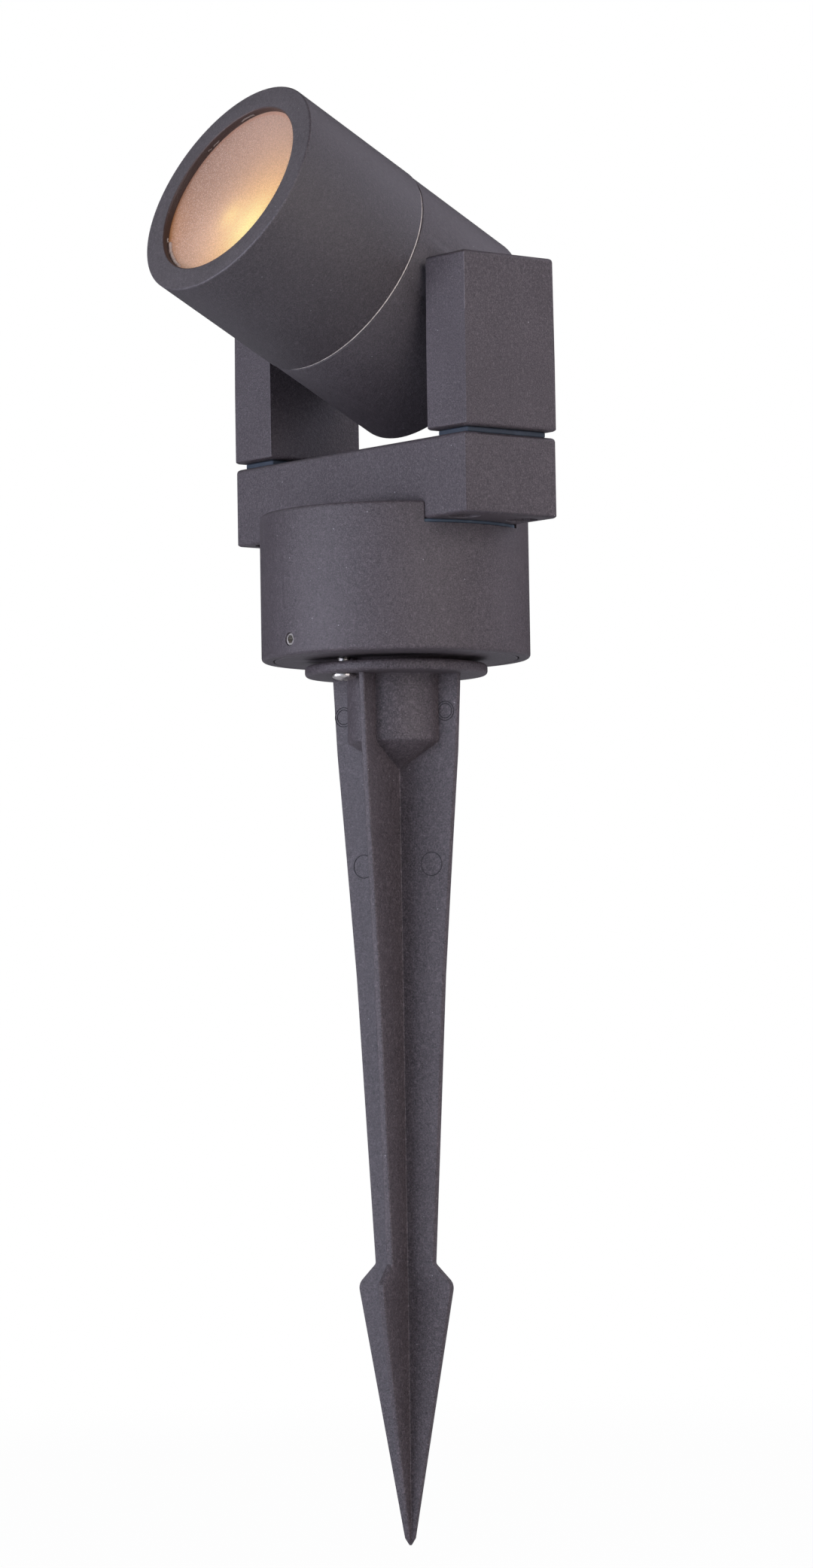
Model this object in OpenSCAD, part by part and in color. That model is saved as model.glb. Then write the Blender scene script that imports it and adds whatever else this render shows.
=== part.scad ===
// Landscape spotlight on a ground spike, 12 volt, with a tilting and swivelling head.
// The origin is on the upright axis, at the underside of the spike's flange, which rests on the soil.
// +Z is up, +X runs along the crossbar and the tilt axis, and the head aims towards -Y and upwards.
// The head's own pieces are drawn round an axis along +Z from the tilt axis, and head_frame() places them.

/* [Ground spike] */
// Length of the spike from the flange's underside to the point
spike_len = 222; // [180:1:300]
// Diameter of the flange that rests on the soil
flange_d = 47; // [46:0.5:56]
// Thickness of the flange
flange_t = 2.8; // [2:0.1:4]
// Outer diameter of the hollow hub under the flange
hub_d = 25.4; // [25:0.2:26]
// Length of the hub's straight part
hub_len = 17; // [15:0.5:22]
// Depth of the full cone that ends the hub
hub_cone_depth = 9.6; // [8:0.2:12]
// Diameter of the bore down the hub
hub_bore_d = 16; // [13:0.5:18]
// Diameter of the cord's way in through the hub's wall
cord_entry_d = 8; // [6:0.5:9]
// Reach of a rib from the axis, just under the flange
rib_reach = 18.5; // [17:0.1:21]
// Reach of a rib at the neck above the barb
neck_reach = 8.5; // [7.5:0.1:10]
// Depth of the neck below the flange's underside
neck_depth = 150.5; // [120:0.5:160]
// Reach of the barb's shoulders
barb_reach = 13.7; // [12:0.1:15]
// Radius that rounds the barb's shoulders
barb_round = 3; // [1:0.1:3.5]
// Thickness of a rib at its edge
rib_t = 1.5; // [1.2:0.1:2]
// Thickness of the ribs where they cross
rib_root_t = 2.2; // [2:0.1:3]
// Radius of the valley between two ribs
valley_r = 4.6; // [3:0.1:5]
// Turn of the first rib from the crossbar, as the swivel was left
rib_turn = 22.2; // [0:0.1:60]

/* [Swivel] */
// Height of the gap that the plate's pad keeps open above the flange
pad_gap = 1.3; // [0.8:0.1:2.5]
// Diameter of the pad
pad_d = 28; // [26:0.5:29]
// Thickness of the swivel plate's web
web_t = 3; // [2:0.1:4]
// Height of the plate's rim inside the cup
rim_h = 11.5; // [11:0.1:14]
// Width of the plate's rim
rim_w = 4.6; // [4:0.1:5]
// Diameter of the two screws that hold the spike to the plate
flange_screw_d = 3.5; // [3:0.1:4]
// Distance of those screws from the axis
flange_screw_reach = 17; // [17:0.1:18]
// Diameter of the set screws that lock the swivel
grub_d = 3.2; // [3:0.1:4.5]
// Height of the set screws above the cup's lower edge
grub_h = 4.1; // [3.8:0.1:4.6]

/* [Cup] */
// Outer diameter of the cup
cup_d = 69.2; // [68:0.1:76]
// Height of the cup
cup_h = 37.6; // [34:0.1:50]
// Thickness of the cup's wall
cup_wall = 3; // [2.5:0.1:3.5]
// Thickness of the cup's closed top
deck_t = 3; // [2.5:0.1:4]
// Depth of the slot across the cup's top that takes the crossbar
slot_depth = 5.5; // [4:0.1:7]
// Radius that rounds the cup's edges
cup_round = 1; // [0.4:0.1:1.5]

/* [Crossbar] */
// Width of the crossbar
bar_w = 29.7; // [28:0.1:31]
// Height of the crossbar
bar_h = 20.5; // [19:0.5:26]
// Thickness of the gasket under the crossbar
slot_gasket_t = 0.85; // [0.6:0.05:1.5]
// Diameter of the bores for the leads
wireway_d = 8; // [6:0.5:9]
// Diameter of the screws that hold the crossbar and the arms
arm_screw_d = 4; // [3:0.1:4]
// Diameter of the sinkings for the arm screws under the crossbar
sink_d = 8; // [7.8:0.1:8.5]
// Depth of those sinkings
sink_depth = 4.5; // [3.5:0.1:6]

/* [Arms] */
// Gap between the head and an arm
arm_gap = 2.5; // [2:0.1:3]
// Distance by which an arm stands out over the crossbar's end
arm_overhang = 0.55; // [0:0.05:1]
// Thickness of an arm along the tilt axis
arm_t = 15.7; // [15:0.1:16]
// Width of an arm
arm_w = 29.5; // [27:0.1:30]
// Height of an arm
arm_h = 44.2; // [43:0.1:50]
// Thickness of an arm's walls
arm_wall = 2.6; // [2:0.1:3]
// Height of the gap between an arm and the crossbar, filled by the gasket
arm_gasket_t = 1.45; // [1:0.05:2]
// Inset of the gasket from the arm's sides
gasket_inset = 2; // [1:0.1:2.5]
// Slope of the castings' sides, in degrees
draft = 0.3; // [0:0.1:1.5]
// Radius that rounds the castings' upright edges
side_round = 0.5; // [0.4:0.1:1.5]
// Radius that rounds the castings' top and bottom edges
end_round = 1.1; // [0.5:0.1:2]

/* [Head] */
// Gap between the lamp and the hood's bore, on the radius
lamp_gap = 2; // [1.2:0.1:4]
// Step from the hood down to the rear housing, on the radius
housing_step = 0.2; // [0:0.05:0.5]
// Distance from the tilt axis forward to the seam behind the hood
seam_ahead = 18; // [16:0.1:20]
// Distance from the tilt axis back to the rear face
rear_behind = 17.7; // [16:0.1:19]
// Distance from the tilt axis forward to the hood's front face
front_ahead = 58.1; // [56:0.1:70]
// Thickness of the hood's wall
hood_wall = 3; // [2.6:0.1:3.2]
// Thickness of the housing's wall
housing_wall = 3.2; // [2.8:0.1:3.5]
// Width of the shoulder between the hood's bore and the lens, on the radius
lens_step = 1.25; // [1:0.05:1.5]
// Width over which the front lip holds the lens, on the radius
lens_lap = 2; // [1.5:0.1:4]
// Thickness of the front lip, which is how deep the lens lies
lip_t = 2.2; // [1.5:0.1:4]
// Radius that rounds the hood's front edge
rim_round = 0.5; // [0.3:0.1:1.5]
// Height of the tilt axis above the flange's underside, less the heights below the arms
pivot_in_arm = 37.2; // [36:0.1:38]
// Elevation of the head's axis, in degrees, as it was left
head_tilt = 26.3; // [0:0.1:90]
// Diameter of the hollow pivot bolts
pivot_d = 6; // [5:0.1:6.5]
// Diameter of the bore through a pivot bolt
pivot_bore_d = 3.4; // [3:0.1:3.6]
// Gap between the housing's side bosses and the arms
side_gap = 1.3; // [1.2:0.1:2]

/* [Lamp] */
// Diameter of the reflector lamp
lamp_d = 50; // [46:0.5:50.5]
// Length of the reflector lamp without its pins
lamp_len = 45; // [40:0.5:46]
// Thickness of the lens
lens_t = 3; // [2.5:0.1:4]
// Diameter of the sheathed lead
lead_d = 2.6; // [2:0.1:2.8]

/* [Hidden] */

// Fineness of the curves
$fn = 96;
small_fn = 40;
hex_fn = 6;
corner_steps = 5;
quarter = 90;
half_turn = 180;
sides = [-1, 1];

// Fits and small sizes that several pieces share
overrun = 1;
run_clear = 0.3;
fit_clear = 0.15;
thread_clear = 0.08;
edge_r = 0.4;
pan_share = 1.8;
pan_h_share = 0.46;
socket_share = 0.5;
recess_share = 0.28;

// Ground spike
rib_turns = [0, 90];
flange_r = flange_d / 2;
flange_round = 1;
hub_r = hub_d / 2;
hub_bore_r = hub_bore_d / 2;
hub_floor = 3;
tip_r = 0.9;
barb_slope = 45;
barb_rise = (barb_reach - neck_reach) * tan(barb_slope);
barb_depth = neck_depth + barb_rise;
screw_hole_r = flange_screw_d / 2 + fit_clear;
entry_turn = rib_turn + half_turn - quarter / 2;
entry_depth = hub_len / 2;
// Share of the depth down to the neck, and share of the way in from the top's reach to the neck's
bow_shares = [[0, 0], [0.13, 0.1], [0.28, 0.29], [0.51, 0.57], [0.74, 0.77], [1, 1]];

// Swivel plate, inside the cup's lower edge
cup_z = flange_t + pad_gap;
cup_r = cup_d / 2;
cup_bore_r = cup_r - cup_wall;
plate_r = cup_bore_r - run_clear;
rim_in_r = plate_r - rim_w;
grub_z = cup_z + grub_h;
grub_r = grub_d / 2;
grub_groove_depth = 1.6;
grub_groove_h = grub_d + 2 * run_clear;
ring_section = 2;
ring_groove_depth = ring_section - fit_clear;
ring_z = cup_z + rim_h - ring_section;
grommet_bore_r = 3.4;
grommet_r = 6;
grommet_lip = 1.6;
grommet_h = 9;
boss_r = 4;
boss_h = 9;

// Terminal block on the plate
block_l = 20;
block_w = 12;
block_h = 11;
block_x = 16;
block_round = 1;
terminal_d = 3;
terminal_pitch = 9;
wire_hole_r = 1.6;

// Head's radii, outwards from the lamp
lamp_r = lamp_d / 2;
hood_in_r = lamp_r + lamp_gap;
head_r = hood_in_r + hood_wall;
housing_r = head_r - housing_step;
spigot_r = hood_in_r - run_clear;
spigot_in_r = spigot_r - 2.4;
spigot_len = 8;
cavity_r = housing_r - housing_wall;
seat_r = hood_in_r - lens_step;
snap_grip = 0.7;
snap_r = seat_r + snap_grip;
lens_r = seat_r - fit_clear;
aperture_r = lens_r - lens_lap;

// Cup, slot and crossbar
slot_z = cup_z + cup_h - slot_depth;
slot_clear = 0.2;
bar_z = slot_z + slot_gasket_t;
bar_top = bar_z + bar_h;
bar_r = wireway_d / 2;
wireway_z = bar_z + bar_h * 0.55;
cup_screw_x = 18;
cup_screw_y = 9;
cup_screw_depth = 8;
lead_hole_r = 6;

// Arms
arm_z = bar_top + arm_gasket_t;
arm_in = housing_r + arm_gap;
arm_x = arm_in + arm_t / 2;
bar_l = 2 * (arm_in + arm_t - arm_overhang);
arm_screw_y = arm_w * 0.32;
arm_screw_r = arm_screw_d / 2;
arm_boss_h = 13;
cavity_slot = arm_screw_y * 2 - arm_screw_d * 2;
pivot_z = arm_z + pivot_in_arm;

// Head
seam_t = 0.35;
hood_z = seam_ahead + seam_t + 0.05;
lens_z = front_ahead - lip_t - lens_t;
gasket_t = 1.2;
snap_t = 1.1;
snap_z = lens_z - gasket_t - snap_t;
pivot_r = pivot_d / 2;
boss_face = arm_in - side_gap;
side_boss_r = 6;
side_boss_in = cavity_r - 3.1;
washer_t = 0.9;
bolt_washer_t = 0.8;
bolt_head_r = 4.1;
bolt_head_h = 2.6;
bolt_seat = arm_in + arm_wall + run_clear + bolt_washer_t;
bolt_end = bolt_seat + bolt_head_h;

// Lamp and its holder
lamp_front = snap_z - 2;
lamp_back = lamp_front - lamp_len;
lamp_glass_t = 1.6;
lamp_neck_r = 8.5;
lamp_base_h = 7;
bulb_r = 5;
bulb_h = 20;
pin_r = 0.75;
pin_pitch = 5.3;
pin_len = 6;
holder_l = 18;
holder_w = 11;
holder_h = 9;
holder_z = lamp_back - holder_h;
strap_t = 1;
strap_w = 10;
strap_y = cavity_r - 7.6;
post_r = 3.5;
post_screw_d = 3;
strap_z = holder_z - strap_t;

// Leads
lead_r = lead_d / 2;
lead_gap = 0.3;
lead_sides = 10;

// Unit vector along v.
function unit(v) = v / norm(v);

// Points that replace the corner b of the path a, b, c with an arc of radius r.
function corner_arc(a, b, c, r) =
    let (
        u = unit(a - b),
        w = unit(c - b),
        half = acos(u * w) / 2,
        centre = b + unit(u + w) * r / sin(half),
        first = b + u * r / tan(half) - centre,
        turn = half_turn - 2 * half,
        side = u[0] * w[1] - u[1] * w[0] > 0 ? -1 : 1
    )
    [for (i = [0 : corner_steps])
        let (t = side * turn * i / corner_steps)
        centre + [first[0] * cos(t) - first[1] * sin(t), first[0] * sin(t) + first[1] * cos(t)]];

// A closed outline whose corners are rounded by their own radii, where zero leaves a corner sharp.
function rounded(points, radii) =
    let (n = len(points))
    [for (i = [0 : n - 1])
        each radii[i] == 0 ? [points[i]]
            : corner_arc(points[(i + n - 1) % n], points[i], points[(i + 1) % n], radii[i])];

// A casting block that stands on z = 0: its sides lean in by the draft, and all its edges are rounded.
module cast_block(l, w, h) {
    lean = h * tan(draft);
    intersection() {
        rotate([quarter, 0, 0])
            linear_extrude(w + 2 * overrun, center = true)
                polygon(rounded(
                    [[-l / 2, 0], [l / 2, 0], [l / 2 - lean, h], [-l / 2 + lean, h]],
                    [end_round, end_round, end_round, end_round]));
        rotate([quarter, 0, quarter])
            linear_extrude(l + 2 * overrun, center = true)
                polygon(rounded(
                    [[-w / 2, 0], [w / 2, 0], [w / 2 - lean, h], [-w / 2 + lean, h]],
                    [end_round, end_round, end_round, end_round]));
        linear_extrude(h)
            polygon(rounded(
                [[-l / 2, -w / 2], [l / 2, -w / 2], [l / 2, w / 2], [-l / 2, w / 2]],
                [side_round, side_round, side_round, side_round]));
    }
}

// A pan-head screw whose shank runs down from z = 0 and whose head stands above it.
module pan_screw(d, l) {
    head_r = d * pan_share / 2;
    head_h = d * pan_h_share;
    difference() {
        union() {
            translate([0, 0, -l]) cylinder(r = d / 2, h = l + head_h / 2, $fn = small_fn);
            rotate_extrude($fn = small_fn)
                polygon(rounded([[0, 0], [head_r, 0], [head_r, head_h], [0, head_h]],
                    [0, 0, head_h * 0.7, 0]));
        }
        for (a = rib_turns)
            translate([0, 0, head_h])
                rotate([0, 0, a])
                    cube([head_r * 1.1, d * recess_share, head_h], center = true);
    }
}

// A ring of rectangular section.
module flat_ring(outer, inner, h) {
    difference() {
        cylinder(r = outer, h = h);
        translate([0, 0, -overrun]) cylinder(r = inner, h = h + 2 * overrun);
    }
}

// Normal of the run from a to b, in the plane of a route.
function run_normal(a, b) = let (u = unit(b - a)) [-u[1], u[0]];

// Direction in which a ring of the lead opens at point i of its route, so that the runs meet in a mitre.
function mitre(route, i) =
    let (
        last = len(route) - 1,
        before = run_normal(route[max(i - 1, 0)], route[max(i, 1)]),
        after = run_normal(route[min(i, last - 1)], route[min(i + 1, last)])
    )
    (before + after) / (1 + before * after);

// A lead of round section along a route of [x, z] points in the plane y = 0.
module lead(route) {
    n = lead_sides;
    last = len(route) - 1;
    rings = [for (i = [0 : last]) let (m = mitre(route, i))
        for (k = [0 : n - 1]) let (a = 2 * half_turn * k / n)
            [route[i][0] + lead_r * m[0] * sin(a), lead_r * cos(a), route[i][1] + lead_r * m[1] * sin(a)]];
    walls = [for (i = [0 : last - 1], k = [0 : n - 1]) let (b = i * n, j = (k + 1) % n)
        each [[b + k, b + j, b + n + k], [b + n + k, b + j, b + n + j]]];
    ends = [[for (k = [n - 1 : -1 : 0]) k], [for (k = [0 : n - 1]) last * n + k]];
    polyhedron(rings, concat(walls, ends));
}

// Places what is drawn round the head's own axis.
module head_frame() {
    translate([0, 0, pivot_z]) rotate([quarter - head_tilt, 0, 0]) children();
}

// Places a copy on each side, along the tilt axis and facing outwards.
module both_pivots() {
    for (s = sides)
        translate([0, 0, pivot_z]) rotate([quarter - head_tilt, 0, 0]) rotate([0, s * quarter, 0]) children();
}

// Outline of a rib, from the axis outwards and down to the point.
module rib_outline() {
    side = [for (b = bow_shares) [rib_reach + (neck_reach - rib_reach) * b[1], -neck_depth * b[0]]];
    shoulder = corner_arc([neck_reach, -neck_depth], [barb_reach, -barb_depth],
        [0, -spike_len], barb_round);
    point = corner_arc([barb_reach, -barb_depth], [tip_r, -spike_len], [0, -spike_len], tip_r * 0.6);
    polygon(concat([[0, 0]], side, shoulder, point, [[0, -spike_len]]));
}

// Section across the four ribs, with their draft and the round valleys between them.
module rib_section() {
    reach = flange_r;
    near = rib_root_t / 2;
    for (a = [0 : quarter : half_turn * 2 - quarter])
        rotate(a) {
            polygon([[0, -near], [reach, -rib_t / 2], [reach, rib_t / 2], [0, near]]);
            difference() {
                square(near + valley_r * 0.98);
                translate([near + valley_r, near + valley_r]) circle(r = valley_r);
            }
        }
}

module ground_spike() {
    color("dimgray") difference() {
        union() {
            rotate_extrude() polygon(rounded(
                [[0, 0], [flange_r, 0], [flange_r, flange_t], [0, flange_t]],
                [0, flange_round, flange_round, 0]));
            rotate([0, 0, rib_turn]) intersection() {
                translate([0, 0, -spike_len]) linear_extrude(spike_len) rib_section();
                rotate_extrude() rib_outline();
            }
            rotate_extrude() polygon(
                [[0, 0], [hub_r, 0], [hub_r, -hub_len], [0, -hub_len - hub_cone_depth]]);
        }
        translate([0, 0, -hub_len + hub_floor])
            cylinder(r = hub_bore_r, h = hub_len + flange_t + overrun);
        rotate([0, 0, entry_turn]) translate([0, 0, -entry_depth])
            rotate([0, quarter, 0]) cylinder(d = cord_entry_d, h = hub_r + overrun);
        for (s = sides)
            translate([0, s * flange_screw_reach, -overrun])
                cylinder(r = screw_hole_r, h = flange_t + 2 * overrun, $fn = small_fn);
    }
}

module flange_screws() {
    color("silver") for (s = sides)
        translate([0, s * flange_screw_reach, 0])
            rotate([half_turn, 0, 0]) pan_screw(flange_screw_d, cup_z + boss_h - 1.5 * overrun);
}

module swivel_plate() {
    groove_in = plate_r - grub_groove_depth;
    ring_in = plate_r - ring_groove_depth;
    top = cup_z + rim_h;
    color("dimgray") difference() {
        union() {
            rotate_extrude() polygon([
                [0, cup_z], [plate_r, cup_z], [plate_r, grub_z - grub_groove_h / 2],
                [groove_in, grub_z - grub_groove_h / 2], [groove_in, grub_z + grub_groove_h / 2],
                [plate_r, grub_z + grub_groove_h / 2], [plate_r, ring_z - ring_section / 2],
                [ring_in, ring_z - ring_section / 2], [ring_in, ring_z + ring_section / 2],
                [plate_r, ring_z + ring_section / 2], [plate_r, top], [rim_in_r, top],
                [rim_in_r, cup_z + web_t], [0, cup_z + web_t]]);
            translate([0, 0, flange_t]) cylinder(d = pad_d, h = pad_gap + web_t / 2);
            for (s = sides)
                translate([0, s * flange_screw_reach, cup_z])
                    cylinder(r = boss_r, h = boss_h, $fn = small_fn);
        }
        translate([0, 0, flange_t - overrun])
            cylinder(r = grommet_r, h = pad_gap + web_t + 2 * overrun);
        for (s = sides)
            translate([0, s * flange_screw_reach, flange_t])
                cylinder(r = flange_screw_d / 2 + thread_clear, h = pad_gap + boss_h - overrun / 2,
                    $fn = small_fn);
    }
}

// The seal sits in the upper groove of the plate's rim, with the cup's bore round it.
module plate_o_ring() {
    section_r = ring_section / 2 - fit_clear / 2;
    color("black") translate([0, 0, ring_z])
        rotate_extrude() translate([plate_r + fit_clear - section_r, 0])
            circle(r = section_r, $fn = small_fn);
}

module cable_grommet() {
    low = flange_t + 0.3;
    high = cup_z + web_t;
    wide = grommet_r + grommet_lip;
    neck = grommet_r - fit_clear / 2;
    color("black") rotate_extrude() polygon([
        [grommet_bore_r, low], [neck, low], [neck, high], [wide, high],
        [wide, high + grommet_lip], [neck, high + grommet_lip],
        [grommet_bore_r + grommet_lip, low + grommet_h], [grommet_bore_r, low + grommet_h]]);
}

module terminal_block() {
    color("ivory") difference() {
        translate([block_x, 0, cup_z + web_t])
            linear_extrude(block_h)
                polygon(rounded(
                    [[-block_w / 2, -block_l / 2], [block_w / 2, -block_l / 2],
                     [block_w / 2, block_l / 2], [-block_w / 2, block_l / 2]],
                    [block_round, block_round, block_round, block_round]));
        for (s = sides)
            translate([block_x, s * terminal_pitch / 2, cup_z + web_t]) {
                translate([0, 0, block_h / 2])
                    cylinder(r = terminal_d / 2 + thread_clear, h = block_h, $fn = small_fn);
                translate([0, 0, block_h / 3]) rotate([0, quarter, 0])
                    cylinder(r = wire_hole_r, h = block_w + overrun, center = true, $fn = small_fn);
            }
    }
}

module terminal_screws() {
    color("goldenrod") for (s = sides)
        translate([block_x, s * terminal_pitch / 2, cup_z + web_t + block_h])
            pan_screw(terminal_d, block_h / 2 - overrun);
}

module base_cup() {
    low = cup_z;
    top = cup_z + cup_h;
    under = top - deck_t;
    slot_w = bar_w + 2 * slot_clear;
    color("dimgray") difference() {
        union() {
            rotate_extrude() polygon(rounded(
                [[cup_bore_r, low], [cup_r, low], [cup_r, top], [0, top], [0, under],
                 [cup_bore_r, under]],
                [edge_r, cup_round, cup_round, 0, 0, 0]));
            intersection() {
                cylinder(r = cup_r - cup_wall / 2, h = under + deck_t / 2);
                translate([-cup_r, -slot_w / 2 - deck_t, slot_z - deck_t])
                    cube([cup_d, slot_w + 2 * deck_t, slot_depth + deck_t / 2]);
            }
        }
        translate([-cup_r - overrun, -slot_w / 2, slot_z])
            cube([cup_d + 2 * overrun, slot_w, slot_depth + overrun]);
        for (s = sides)
            translate([0, 0, grub_z]) rotate([s * quarter, 0, 0])
                cylinder(r = grub_r + thread_clear, h = cup_r + overrun, $fn = small_fn);
        translate([0, 0, slot_z - deck_t - overrun])
            cylinder(r = lead_hole_r, h = deck_t + 2 * overrun);
        for (x = sides, y = sides)
            translate([x * cup_screw_x, y * cup_screw_y, slot_z - deck_t - overrun])
                cylinder(r = arm_screw_r + fit_clear, h = deck_t + 2 * overrun, $fn = small_fn);
    }
}

// Hexagon-socket set screws whose tips run in the plate's lower groove.
module grub_screws() {
    outer = cup_r - edge_r;
    inner = plate_r - grub_groove_depth + run_clear;
    color("silver") for (s = sides)
        translate([0, 0, grub_z]) rotate([s * quarter, 0, 0]) difference() {
            translate([0, 0, inner]) rotate_extrude($fn = small_fn) polygon(rounded(
                [[0, 0], [grub_r, 0], [grub_r, outer - inner], [0, outer - inner]],
                [0, edge_r, edge_r, 0]));
            translate([0, 0, outer - (outer - inner) / 2])
                cylinder(d = grub_d * socket_share * 1.15, h = outer - inner, $fn = hex_fn);
        }
}

module slot_gasket() {
    color("slategray") difference() {
        intersection() {
            translate([0, 0, slot_z]) cylinder(r = cup_r - edge_r, h = slot_gasket_t);
            translate([-cup_r, -bar_w / 2, slot_z]) cube([cup_d, bar_w - slot_clear, slot_gasket_t]);
        }
        translate([0, 0, slot_z - overrun]) cylinder(r = lead_hole_r, h = slot_gasket_t + 2 * overrun);
        for (x = sides, y = sides)
            translate([x * cup_screw_x, y * cup_screw_y, slot_z - overrun])
                cylinder(r = arm_screw_r + fit_clear, h = slot_gasket_t + 2 * overrun, $fn = small_fn);
    }
}

module crossbar() {
    color("dimgray") difference() {
        translate([0, 0, bar_z]) cast_block(bar_l, bar_w, bar_h);
        translate([0, 0, bar_z - overrun]) cylinder(r = lead_hole_r, h = wireway_z - bar_z + overrun);
        translate([-arm_x, 0, wireway_z]) rotate([0, quarter, 0])
            cylinder(d = wireway_d, h = 2 * arm_x, $fn = small_fn);
        for (s = sides)
            translate([s * arm_x, 0, 0]) {
                translate([0, 0, wireway_z - bar_r])
                    cylinder(d = wireway_d, h = bar_top - wireway_z + bar_r + overrun, $fn = small_fn);
                for (y = sides)
                    translate([0, y * arm_screw_y, bar_z - overrun]) {
                        cylinder(d = sink_d, h = sink_depth + overrun, $fn = small_fn);
                        cylinder(r = arm_screw_r + fit_clear, h = bar_h + 2 * overrun, $fn = small_fn);
                    }
            }
        for (x = sides, y = sides)
            translate([x * cup_screw_x, y * cup_screw_y, bar_z - overrun])
                cylinder(r = arm_screw_r + thread_clear, h = cup_screw_depth + overrun, $fn = small_fn);
    }
}

// Screws from inside the cup that pull the crossbar down on its gasket.
module cup_screws() {
    shank = deck_t + slot_gasket_t + cup_screw_depth - overrun;
    color("silver") for (x = sides, y = sides)
        translate([x * cup_screw_x, y * cup_screw_y, slot_z - deck_t])
            rotate([half_turn, 0, 0]) pan_screw(arm_screw_d, shank);
}

module arm_gasket(s) {
    l = arm_t - 2 * gasket_inset;
    w = arm_w - 2 * gasket_inset;
    color("slategray") translate([s * arm_x, 0, bar_top]) difference() {
        linear_extrude(arm_gasket_t)
            polygon(rounded([[-l / 2, -w / 2], [l / 2, -w / 2], [l / 2, w / 2], [-l / 2, w / 2]],
                [side_round, side_round, side_round, side_round]));
        translate([0, 0, -overrun]) cylinder(d = wireway_d, h = arm_gasket_t + 2 * overrun);
        for (y = sides)
            translate([0, y * arm_screw_y, -overrun])
                cylinder(r = arm_screw_r + fit_clear, h = arm_gasket_t + 2 * overrun, $fn = small_fn);
    }
}

module arm_gasket_left() { arm_gasket(-1); }

module arm_gasket_right() { arm_gasket(1); }

// A hollow arm, open below, with solid feet for its two screws and a bore for the pivot bolt.
module arm(s) {
    cavity_l = arm_t - 2 * arm_wall;
    cavity_w = arm_w - 2 * arm_wall;
    color("dimgray") difference() {
        translate([s * arm_x, 0, arm_z]) cast_block(arm_t, arm_w, arm_h);
        translate([s * arm_x - cavity_l / 2, -cavity_w / 2, arm_z + arm_boss_h])
            cube([cavity_l, cavity_w, arm_h - arm_wall - arm_boss_h]);
        translate([s * arm_x - cavity_l / 2, -cavity_slot / 2, arm_z - overrun])
            cube([cavity_l, cavity_slot, arm_boss_h + 2 * overrun]);
        for (y = sides)
            translate([s * arm_x, y * arm_screw_y, arm_z - overrun])
                cylinder(r = arm_screw_r + thread_clear, h = arm_boss_h + 2 * overrun, $fn = small_fn);
        translate([0, 0, pivot_z]) rotate([0, s * quarter, 0])
            translate([0, 0, arm_in - overrun])
                cylinder(r = pivot_r + fit_clear, h = arm_wall + 2 * overrun, $fn = small_fn);
    }
}

module arm_left() { arm(-1); }

module arm_right() { arm(1); }

module arm_screws() {
    seat = bar_z + sink_depth;
    color("silver") for (x = sides, y = sides)
        translate([x * arm_x, y * arm_screw_y, seat])
            rotate([half_turn, 0, 0]) pan_screw(arm_screw_d, arm_z + arm_boss_h - overrun - seat);
}

// The supply lead inside the arm, the crossbar and the cup.
module feed_lead() {
    drop_x = bolt_end + lead_gap + lead_d;
    color("black") lead([
        [bolt_end + lead_gap, pivot_z], [drop_x, pivot_z], [drop_x, arm_z + arm_boss_h],
        [arm_x, arm_z], [arm_x, wireway_z], [0, wireway_z], [0, slot_z - deck_t],
        [block_x / 2, cup_z + web_t + block_h + 2 * lead_d]]);
}

module rear_housing() {
    back = -rear_behind;
    spigot = seam_ahead + spigot_len;
    groove_z = seam_ahead + spigot_len / 3;
    color("dimgray") head_frame() difference() {
        union() {
            rotate_extrude() polygon(rounded([
                [0, back], [housing_r, back], [housing_r, seam_ahead], [spigot_r, seam_ahead],
                [spigot_r, groove_z - ring_section / 2],
                [spigot_r - ring_groove_depth, groove_z - ring_section / 2],
                [spigot_r - ring_groove_depth, groove_z + ring_section / 2],
                [spigot_r, groove_z + ring_section / 2],
                [spigot_r, spigot], [spigot_in_r, spigot], [spigot_in_r, seam_ahead],
                [cavity_r, seam_ahead - housing_wall], [cavity_r, back + housing_wall],
                [0, back + housing_wall]],
                [0, end_round, edge_r, 0, 0, 0, 0, 0, edge_r, 0, 0, 0, 0, 0]));
            for (s = sides)
                rotate([0, s * quarter, 0]) translate([0, 0, side_boss_in])
                    cylinder(r = side_boss_r, h = boss_face - side_boss_in, $fn = small_fn);
            for (s = sides)
                translate([0, s * strap_y, back + housing_wall / 2])
                    cylinder(r = post_r, h = strap_z - back - housing_wall / 2, $fn = small_fn);
        }
        for (s = sides)
            rotate([0, s * quarter, 0]) translate([0, 0, side_boss_in - overrun])
                cylinder(r = pivot_r + thread_clear, h = boss_face + 2 * overrun, $fn = small_fn);
        for (s = sides)
            translate([0, s * strap_y, back + housing_wall])
                cylinder(r = post_screw_d / 2 + thread_clear, h = rear_behind, $fn = small_fn);
    }
}

// Hollow bolts, screwed into the housing from inside the arms.
module pivot_bolts() {
    color("silver") both_pivots() difference() {
        union() {
            translate([0, 0, side_boss_in]) cylinder(r = pivot_r, h = bolt_end - side_boss_in,
                $fn = small_fn);
            translate([0, 0, bolt_seat]) rotate_extrude($fn = small_fn) polygon(rounded(
                [[0, 0], [bolt_head_r, 0], [bolt_head_r, bolt_head_h], [0, bolt_head_h]],
                [0, 0, edge_r, 0]));
        }
        translate([0, 0, side_boss_in - overrun])
            cylinder(d = pivot_bore_d, h = bolt_end, $fn = small_fn);
        translate([0, 0, bolt_end - bolt_head_h / 2])
            cylinder(d = pivot_d * 0.9, h = bolt_head_h, $fn = hex_fn);
    }
}

module bolt_washers() {
    color("silver") both_pivots() translate([0, 0, bolt_seat - bolt_washer_t])
        flat_ring(bolt_head_r, pivot_r + fit_clear, bolt_washer_t);
}

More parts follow.
